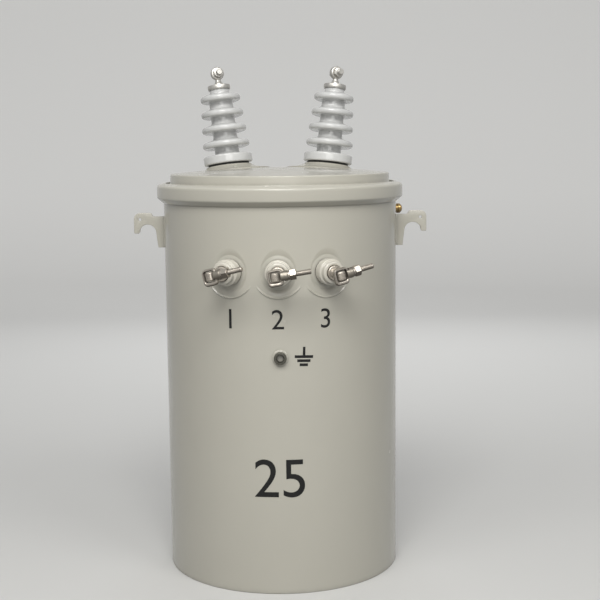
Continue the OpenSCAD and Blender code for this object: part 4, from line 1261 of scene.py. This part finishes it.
class TRANSFORMER_OT_high_bushings(bpy.types.Operator):
    """Builds the two high-voltage bushings with their sheds, caps and terminals"""

    bl_idname = "transformer.high_bushings"
    bl_label = "High-voltage bushings"

    cap_height: bpy.props.FloatProperty(
        name="Cap height", description="Height of the metal caps", default=0.010, unit="LENGTH")
    eye_width: bpy.props.FloatProperty(
        name="Eye width", description="Width of the terminals' eyes along their bolts", default=0.012,
        unit="LENGTH")

    def porcelain(self, settings):
        """The bushing's outline: base ring, core, sheds and collar, with its top height."""
        seal, ring, ring_radius, half = 0.004, 0.022, 0.050, 0.00625
        spigot, spigot_radius, collar, collar_radius = -0.026, 0.020, 0.0080, 0.0200
        core_foot, core_taper, widest, narrowing = 0.0255, 0.002, 0.0485, 0.0025
        below_first, above_last = 0.021, 0.0195
        first = ring + below_first
        top = first + (settings.shed_count - 1) * settings.shed_pitch + above_last

        def core(height):
            """The radius of the slightly tapered core."""
            return core_foot - core_taper * height / top

        corners = [(0.0, spigot), (spigot_radius, spigot, 0.002), (spigot_radius, seal),
                   (ring_radius, seal, 0.003), (ring_radius, ring, 0.0035),
                   (core(ring) + 0.005, ring + 0.0003, 0.003), (core(ring), ring + 0.0045, 0.003)]
        for i in range(settings.shed_count):
            rim, level = widest - narrowing * i, first + i * settings.shed_pitch
            corners += [(core(level), level - 0.00325, 0.004), (rim, level - half, 0.0062),
                        (rim, level + half, 0.0062), (core(level), level + 0.01225, 0.006)]
        corners += [(collar_radius, top - collar, 0.002), (collar_radius, top), (0.0, top)]
        return rounded(corners, steps=6), top

    def cap(self, top):
        """The metal cap's outline, from the top of the porcelain."""
        foot, rim, crown, height = 0.0222, 0.0230, 0.0180, top + self.cap_height
        return rounded([(0, top), (foot, top, 0.0008), (rim, top + 0.003, 0.0015),
                        (rim, height - 0.0005, 0.0016), (crown, height, 0.001), (0, height)])

    def terminal(self, name, settings, top):
        """The cast eye terminal on its tapered neck and the frame of its bolt."""
        eye_height, hole, rim, half, neck_top = 0.034, 0.00675, 0.0135, self.eye_width / 2, 0.0139
        twists = {"left": 16.0, "right": 24.0}
        facing = twists[name] - settings.cover_turn - SIDES[name] * settings.high_angle
        eye = shift(0, 0, top + eye_height) @ turn("Z", facing) @ OUTWARD
        neck = rounded([(0, -0.001), (0.0085, -0.001), (0.0085, 0.003, 0.0008), (0.0066, 0.0065, 0.006),
                        (0.0045, neck_top), (0, neck_top)])
        ring = rounded([(hole, -half, 0.001), (rim, -half, 0.0028), (rim, half, 0.0028), (hole, half, 0.001)],
                       loop=True, steps=4)
        form = Form().add(lathe(neck, 64), shift(0, 0, top + self.cap_height))
        return fused(form.add(lathe(ring, 64, loop=True), eye), voxel=0.00045, rounds=6), eye

    def bolt(self, eye):
        """The bolt through an eye, with its head and nut."""
        flats, head, nut, half, sunk = 0.018, 0.007, 0.009, self.eye_width / 2, 0.001
        form = Form().add(hexagon(flats, head), eye @ shift(0, 0, -half - head))
        form.add(hexagon(flats, nut), eye @ shift(0, 0, half))
        shaft = threaded(radius=0.006, length=0.037, pitch=0.00175)
        return form.add(shaft, eye @ shift(0, 0, sunk - half - head))

    def execute(self, context):
        tank, settings = context.scene.transformer_tank, context.scene.transformer_bushings
        glaze, tin = finishes().grey_porcelain, finishes().dull_tin
        outline, top = self.porcelain(settings)
        for name, side in SIDES.items():
            place = high_frame(settings, tank, side)
            make_piece("insulator_" + name, Form().add(lathe(outline, 128), place), glaze,
                       ["hv_porcelain_" + name], sharp=50.0)
            make_piece("cap_" + name, Form().add(lathe(self.cap(top), 96), place), tin,
                       ["hv_cap_" + name])
            cast, eye = self.terminal(name, settings, top)
            cast.transform(place)
            make_piece("terminal_" + name, cast, tin, ["hv_terminal_" + name], sharp=60.0)
            make_piece("terminal_bolt_" + name, self.bolt(place @ eye), tin, ["hv_bolt_" + name])
        return {"FINISHED"}


class TRANSFORMER_OT_low_bushings(bpy.types.Operator):
    """Builds the porcelain of the three low-voltage bushings"""

    bl_idname = "transformer.low_bushings"
    bl_label = "Low-voltage bushings"

    def execute(self, context):
        tank, settings = context.scene.transformer_tank, context.scene.transformer_bushings
        spigot, flange, nose, recess = 0.016, 0.0245, 0.0205, 0.0145
        seal, flange_top, nose_top, recess_floor = 0.003, 0.022, 0.033, 0.030
        outline = rounded([
            (0.0, -0.020), (spigot, -0.020, 0.002), (spigot, seal), (flange, seal, 0.0012),
            (flange, flange_top, 0.0025), (nose, flange_top + 0.0002, 0.0012), (nose, nose_top, 0.005),
            (recess, nose_top, 0.0008), (recess, recess_floor, 0.0004), (0.0, recess_floor)], steps=6)
        for name, step in TERMINALS.items():
            form = Form().add(lathe(outline, 112), low_frame(settings, tank, step) @ OUTWARD)
            make_piece("low_insulator_" + name, form, finishes().cream_porcelain,
                       ["lv_porcelain_" + name], sharp=50.0)
        return {"FINISHED"}


class TRANSFORMER_OT_connectors(bpy.types.Operator):
    """Builds the three eyebolt connectors with their studs, saddles and nuts"""

    bl_idname = "transformer.connectors"
    bl_label = "Connectors"

    shank: bpy.props.FloatProperty(
        name="Shank radius", description="Radius of the eyebolts' threaded shank", default=0.00475,
        unit="LENGTH")
    stud: bpy.props.FloatProperty(
        name="Stud radius", description="Radius of the studs and of the drums on their ends", default=0.009,
        unit="LENGTH")
    drum_drop: bpy.props.FloatProperty(
        name="Drum drop", description="Distance of a drum's middle from its clamp's, away from the nut",
        default=0.004, unit="LENGTH")

    def execute(self, context):
        tank, settings = context.scene.transformer_tank, context.scene.transformer_bushings
        tilts = {"1": 14.0, "2": 9.0, "3": 13.0}
        for name, step in TERMINALS.items():
            seat = low_frame(settings, tank, step)
            clamp = seat @ shift(settings.low_reach, 0, 0) @ turn("X", tilts[name])
            self.build_stud(name, seat, clamp, settings)
            self.build_eyebolt(name, clamp)
            self.build_saddle(name, clamp)
            self.build_nut(name, clamp)
        return {"FINISHED"}

    def build_stud(self, name, seat, clamp, settings):
        """Collar in the nose's recess, threaded shaft and the grooved drum on its end."""
        floor, collar, collar_top, nut_top, thread_foot, thread = 0.030, 0.0135, 0.037, 0.0385, 0.0375, 0.012
        shoulder, taper, slim, neck, end = 0.0470, 0.0550, 0.0600, 0.0055, settings.low_reach + 0.002
        foot_nut = rounded([(0, floor), (collar, floor), (collar, collar_top, 0.0014),
                            (self.stud + 0.0005, collar_top + 0.0002, 0.0006),
                            (self.stud, nut_top), (0, nut_top)])
        shaft_end = rounded([(0, shoulder), (self.stud, shoulder, 0.0006), (self.stud, taper, 0.003),
                             (neck, slim, 0.002), (neck, end), (0, end)])
        along = seat @ OUTWARD
        form = Form().add(lathe(foot_nut, 64), along)
        form.add(threaded(self.stud, thread, pitch=0.002, segments=56), along @ shift(0, 0, thread_foot))
        form.add(shell_of(fused(Form().add(lathe(shaft_end, 48), along), voxel=0.0004, rounds=4)))
        form.add(lathe(self.drum(), 56), clamp @ shift(0, -self.drum_drop, 0))
        # The stud takes the lighter copy of the tinned colour, painted light.
        make_piece("stud_" + name, form, finishes().painted_light_tin, ["lv_stud_" + name], sharp=45.0)

    def drum(self):
        """The upright drum's outline, with the shallow grooves that grip the conductor."""
        radius, half, depth, grooves = self.stud, 0.0085, 0.00035, 6
        bevel, top_land, first = 0.0022, 0.0024, 0.0026
        wall_start, floor_start, floor_end, wall_end = 0.30, 0.42, 0.62, 0.74
        pitch = 2 * (half - first) / grooves
        corners = [(0, -half), (radius - bevel, -half, 0.0006), (radius, top_land - half, 0.0006)]
        for k in range(grooves):
            low = first - half + k * pitch
            corners += [(radius, low + pitch * wall_start), (radius - depth, low + pitch * floor_start),
                        (radius - depth, low + pitch * floor_end), (radius, low + pitch * wall_end)]
        corners += [(radius, half - top_land, 0.0006), (radius - bevel, half, 0.0006), (0, half)]
        return rounded(corners, steps=3)

    def build_eyebolt(self, name, clamp):
        """The eye round the drum, cast with its shank, and the shank's thread."""
        across, along, side, top, foot, depth, edge = 0.0102, 0.0093, 0.004, 0.0045, 0.008, 0.011, 0.0036
        root_start, root_length, thread_start, thread_length, pitch = 0.0085, 0.0095, 0.0175, 0.0435, 0.0016

        def oblong(low, high, wide, bend, steps):
            """A rectangle from low to high and out to wide on both sides, with round corners."""
            corners = [(high, -wide, bend), (high, wide, bend), (low, wide, bend), (low, -wide, bend)]
            return rounded(corners, loop=True, steps=steps)

        outer = oblong(-along - top, along + foot, across + side, 0.0075, 8)
        inner = oblong(-along, along, across, 0.0042, 6)
        root = [(0, 0), (0.0062, 0), (0.0050, 0.005), (self.shank, 0.008), (self.shank, root_length),
                (0, root_length)]
        cast = Form().add(plate([outer, inner], depth, edge), shift(0, -self.drum_drop, 0) @ OUTWARD)
        cast.add(lathe(root, 40), shift(0, root_start, 0) @ RIGHTWARD)
        body = fused(cast, voxel=0.00045, rounds=4)
        body.transform(clamp)
        form = Form().add(shell_of(body))
        form.add(threaded(self.shank, thread_length, pitch), clamp @ shift(0, thread_start, 0) @ RIGHTWARD)
        make_piece("eyebolt_" + name, form, finishes().tinned, ["lv_eyebolt_" + name], sharp=45.0)

    def build_saddle(self, name, clamp):
        """The slotted cup that the nut presses against the drum."""
        half, back, floor, front, radius, bore = 0.0058, 0.0058, 0.012, 0.019, 0.0095, 0.00525
        deep, long = 0.02, 0.03
        turned = rounded([(bore, back), (radius, back, 0.0008), (radius, front, 0.0016),
                          (bore, front, 0.0006)], loop=True)
        cup = Form().add(lathe(turned, 72, loop=True), RIGHTWARD).mesh("cup")
        slot = Form().add(block((2 * half, deep, long), shift(0, floor - deep / 2, 0), 0.0004))
        body = fused(carved(cup, slot), voxel=0.00035, rounds=3)
        body.transform(clamp)
        make_piece("saddle_" + name, body, finishes().cast, ["lv_saddle_" + name], sharp=35.0)

    def build_nut(self, name, clamp):
        """The nut that tightens the saddle, on its washer."""
        hole, rim, low, high, flats, length, start = 0.0049, 0.0088, 0.019, 0.0218, 0.018, 0.0115, 0.022
        washer = rounded([(hole, low), (rim, low, 0.0006), (rim, high, 0.0006), (hole, high)], loop=True)
        form = Form().add(hexagon(flats, length, hole), clamp @ shift(0, start, 0) @ RIGHTWARD)
        form.add(lathe(washer, 48, loop=True), clamp @ RIGHTWARD)
        make_piece("nut_" + name, form, finishes().tinned, ["lv_nut_" + name])


class TRANSFORMER_OT_fittings(bpy.types.Operator):
    """Builds the ground boss and the relief valve"""

    bl_idname = "transformer.fittings"
    bl_label = "Fittings"

    ground_height: bpy.props.FloatProperty(
        name="Ground height", description="Height of the ground boss above the floor",
        default=node_height("ground_boss"), unit="LENGTH")
    relief_angle: bpy.props.FloatProperty(
        name="Relief angle", description="Angle round the tank of the relief valve, in degrees",
        default=108.0)

    def execute(self, context):
        tank = context.scene.transformer_tank
        self.build_ground(tank)
        self.build_relief(tank)
        return {"FINISHED"}

    def build_ground(self, tank):
        """A tapped boss on a round pad that is welded to the wall and painted with it."""
        place = round_tank(0, tank.radius, self.ground_height) @ OUTWARD
        inner, outer, foot, top = 0.0105, 0.014, -0.0012, 0.003
        pad = rounded([(inner, foot), (outer, foot), (outer, top, 0.0012), (inner, top)], loop=True)
        form = Form().add(lathe(pad, 72, loop=True), place)
        make_piece("ground_pad", form, finishes().paint, sharp=35.0)
        hole, floor_radius, floor_low, floor_high = 0.00635, 0.00835, -0.002, -0.0006
        floor = [(0, floor_low), (floor_radius, floor_low), (floor_radius, floor_high), (0, floor_high)]
        form = Form().add(self.tapped_ring(hole), place).add(lathe(floor, 48), place)
        make_piece("ground_nut", form, finishes().bare_steel, ["ground_boss"], sharp=35.0)
        bead, ring_radius, lift = 0.0014, 0.0142, 0.0004
        ring = [(x, -flat_radius(tank, x) - lift, self.ground_height + z) for x, z in circle(ring_radius, 48)]
        make_piece("ground_weld", Form().add(weld_bead(ring, bead, closed=True)), finishes().paint)

    def tapped_ring(self, hole):
        """The boss with a thread cut down its hole."""
        radius, top, foot, pitch, depth, rows, segments = 0.01175, 0.009, -0.0008, 0.002, 0.0008, 36, 48
        outside = rounded([(hole + 0.0012, foot), (radius, foot), (radius, top, 0.0012),
                           (hole + 0.0011, top, 0.0004)], steps=4)

        def surface(height):
            """The tapped hole's radius at a height, for each share of a turn."""
            return lambda share: hole + depth * thread_wave(height, pitch, share)

        start = 0.0080
        heights = [start + (foot - start) * row / rows for row in range(rows + 1)]
        return lathe(outside + [(surface(height), height) for height in heights], segments, loop=True)

    def build_relief(self, tank):
        """A brass valve with a threaded foot, a hexagonal body and a round head."""
        drop, foot, neck, rim, shoulder, top = 0.046, 0.015, 0.0085, 0.010, 0.0212, 0.0308
        place = round_tank(self.relief_angle, tank.radius, tank.rim_height - drop) @ OUTWARD
        head = rounded([(0, foot), (neck, foot), (neck, shoulder - 0.0002, 0.001), (rim, shoulder, 0.0008),
                        (rim, top - 0.0040, 0.0010), (0.0062, top, 0.0012), (0, top)])
        thread, sunk = threaded(radius=0.007, length=0.014, pitch=0.0018, segments=48), -0.006
        form = Form().add(thread, place @ shift(0, 0, sunk)).add(lathe(head, 72), place)
        form.add(hexagon(flats=0.020, length=0.012), place @ shift(0, 0, 0.004))
        make_piece("relief_body", form, finishes().brass, ["relief_valve"], sharp=35.0)


class TRANSFORMER_OT_lettering(bpy.types.Operator):
    """Paints plain numbers and the earth symbol on the front"""

    bl_idname = "transformer.lettering"
    bl_label = "Lettering"

    lift: bpy.props.FloatProperty(
        name="Lift", description="Height of the paint film over the wall", default=0.00012, unit="LENGTH")
    digit: bpy.props.FloatProperty(
        name="Digit height", description="Height of the numbers at the terminals", default=0.036,
        unit="LENGTH")
    large_digit: bpy.props.FloatProperty(
        name="Large digit height", description="Height of the large number", default=0.073, unit="LENGTH")

    def wrap(self, name, shell, angle, height, radius, lean=0.0):
        """Bends a flat shape in X and Y round the tank and makes it a piece."""
        widest_facet = 0.002
        work = bmesh.new()
        mesh = Form().add(shell, turn("Z", lean)).mesh(name)
        work.from_mesh(mesh)
        low = min(v.co.x for v in work.verts)
        high = max(v.co.x for v in work.verts)
        cuts = int((high - low) / widest_facet)
        for k in range(1, cuts):
            bmesh.ops.bisect_plane(work, geom=work.verts[:] + work.edges[:] + work.faces[:], dist=1e-7,
                                   plane_co=(low + (high - low) * k / cuts, 0, 0), plane_no=(1, 0, 0))
        for vertex in work.verts:
            turned = math.radians(angle - 90) + vertex.co.x / radius
            reach = radius + vertex.co.z
            vertex.co = (reach * math.cos(turned), reach * math.sin(turned), height + vertex.co.y)
        work.to_mesh(mesh)
        work.free()
        make_piece(name, mesh, finishes().numbers, sharp=30.0)

    def number(self, text, height):
        """A number as a thin flat shape of that height, centred on X, from its baseline up."""
        curve = bpy.data.curves.new("number", "FONT")
        curve.body = text
        curve.resolution_u = 6
        flat = evaluated(curve)
        across, upward = [v.co.x for v in flat.vertices], [v.co.y for v in flat.vertices]
        middle, baseline = (min(across) + max(across)) / 2, min(upward)
        size = height / (max(upward) - baseline)
        solid = evaluated(flat, ("SOLIDIFY", {"thickness": 2 * self.lift / size, "offset": 0.0}))
        points, faces = shell_of(solid)
        return [((p.x - middle) * size, (p.y - baseline) * size, p.z * size) for p in points], faces

    def bar(self, left, right, low, high):
        """A flat bar of the earth symbol."""
        size = (right - left, high - low, 2 * self.lift)
        place = shift((left + right) / 2, (low + high) / 2, 0)
        return block(size, place, self.lift * 0.4)

    def earth(self):
        """The earth symbol: a lead down to three bars, each shorter than the one above."""
        half, spacing, top = 0.0026, 0.0076, 0.0182
        symbol = Form().add(self.bar(-0.0024, 0.0024, 0.0020, top))
        for k, reach in enumerate((0.0173, 0.0124, 0.0078)):
            symbol.add(self.bar(-reach, reach, -spacing * k - half, -spacing * k + half))
        return symbol.points, symbol.faces

    def execute(self, context):
        radius = context.scene.transformer_tank.radius
        row, large_row, symbol_row, symbol_angle, symbol_lean = 0.504, 0.187, 0.4524, 10.9, -1.8
        angles = {"1": -23.4, "2": -0.9, "3": 21.4}
        for text, angle in angles.items():
            self.wrap("number_" + text, self.number(text, self.digit), angle, row, radius)
        self.wrap("number_rating", self.number("25", self.large_digit), angles["2"], large_row, radius)
        self.wrap("earth_symbol", self.earth(), symbol_angle, symbol_row, radius, symbol_lean)
        return {"FINISHED"}


class TRANSFORMER_OT_carried_over(bpy.types.Operator):
    """Gives the CAD pieces that stay their finishes"""

    bl_idname = "transformer.carried_over"
    bl_label = "Carried-over pieces"

    def execute(self, context):
        plan = {"tank_bottom": finishes().paint, "core_and_coils": finishes().core}
        high, low = ["hv_seal_" + name for name in SIDES], ["lv_seal_" + name for name in TERMINALS]
        plan.update({node: finishes().seal for node in ["cover_seal"] + high + low})
        for node, finish in plan.items():
            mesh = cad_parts[node].data
            mesh.materials.clear()
            mesh.materials.append(finish)
        return {"FINISHED"}


class TRANSFORMER_PT_panel(bpy.types.Panel):
    """Lists the builders and the settings"""

    bl_idname = "TRANSFORMER_PT_panel"
    bl_label = "Transformer"
    bl_space_type = "VIEW_3D"
    bl_region_type = "UI"
    bl_category = "Transformer"

    def draw(self, context):
        layout = self.layout
        for builder in BUILDERS:
            layout.operator(builder.bl_idname)
        for name in SETTINGS:
            settings = getattr(context.scene, name)
            box = layout.box()
            for key in settings.__annotations__:
                box.prop(settings, key)


SETTINGS = {
    "transformer_tank": TankSettings,
    "transformer_bushings": BushingSettings,
    "transformer_finish": FinishSettings,
    "transformer_stage": StageSettings,
}
BUILDERS = [
    TRANSFORMER_OT_stage,
    TRANSFORMER_OT_tank,
    TRANSFORMER_OT_cover,
    TRANSFORMER_OT_clamp_band,
    TRANSFORMER_OT_lifting_lugs,
    TRANSFORMER_OT_pole_brackets,
    TRANSFORMER_OT_high_bushings,
    TRANSFORMER_OT_low_bushings,
    TRANSFORMER_OT_connectors,
    TRANSFORMER_OT_fittings,
    TRANSFORMER_OT_lettering,
    TRANSFORMER_OT_carried_over,
]


def register():
    """Registers the settings, the builders and the panel."""
    for name, group in SETTINGS.items():
        bpy.utils.register_class(group)
        setattr(bpy.types.Scene, name, bpy.props.PointerProperty(type=group))
    for builder in BUILDERS:
        bpy.utils.register_class(builder)
    bpy.utils.register_class(TRANSFORMER_PT_panel)


def unregister():
    """Takes away what register added, in the opposite order."""
    bpy.utils.unregister_class(TRANSFORMER_PT_panel)
    for builder in reversed(BUILDERS):
        bpy.utils.unregister_class(builder)
    for name, group in reversed(SETTINGS.items()):
        delattr(bpy.types.Scene, name)
        bpy.utils.unregister_class(group)


def main():
    """Builds everything in order."""
    register()
    for builder in BUILDERS:
        category, name = builder.bl_idname.split(".")
        getattr(getattr(bpy.ops, category), name)()
    bpy.context.view_layer.update()


if __name__ == "__main__":
    main()
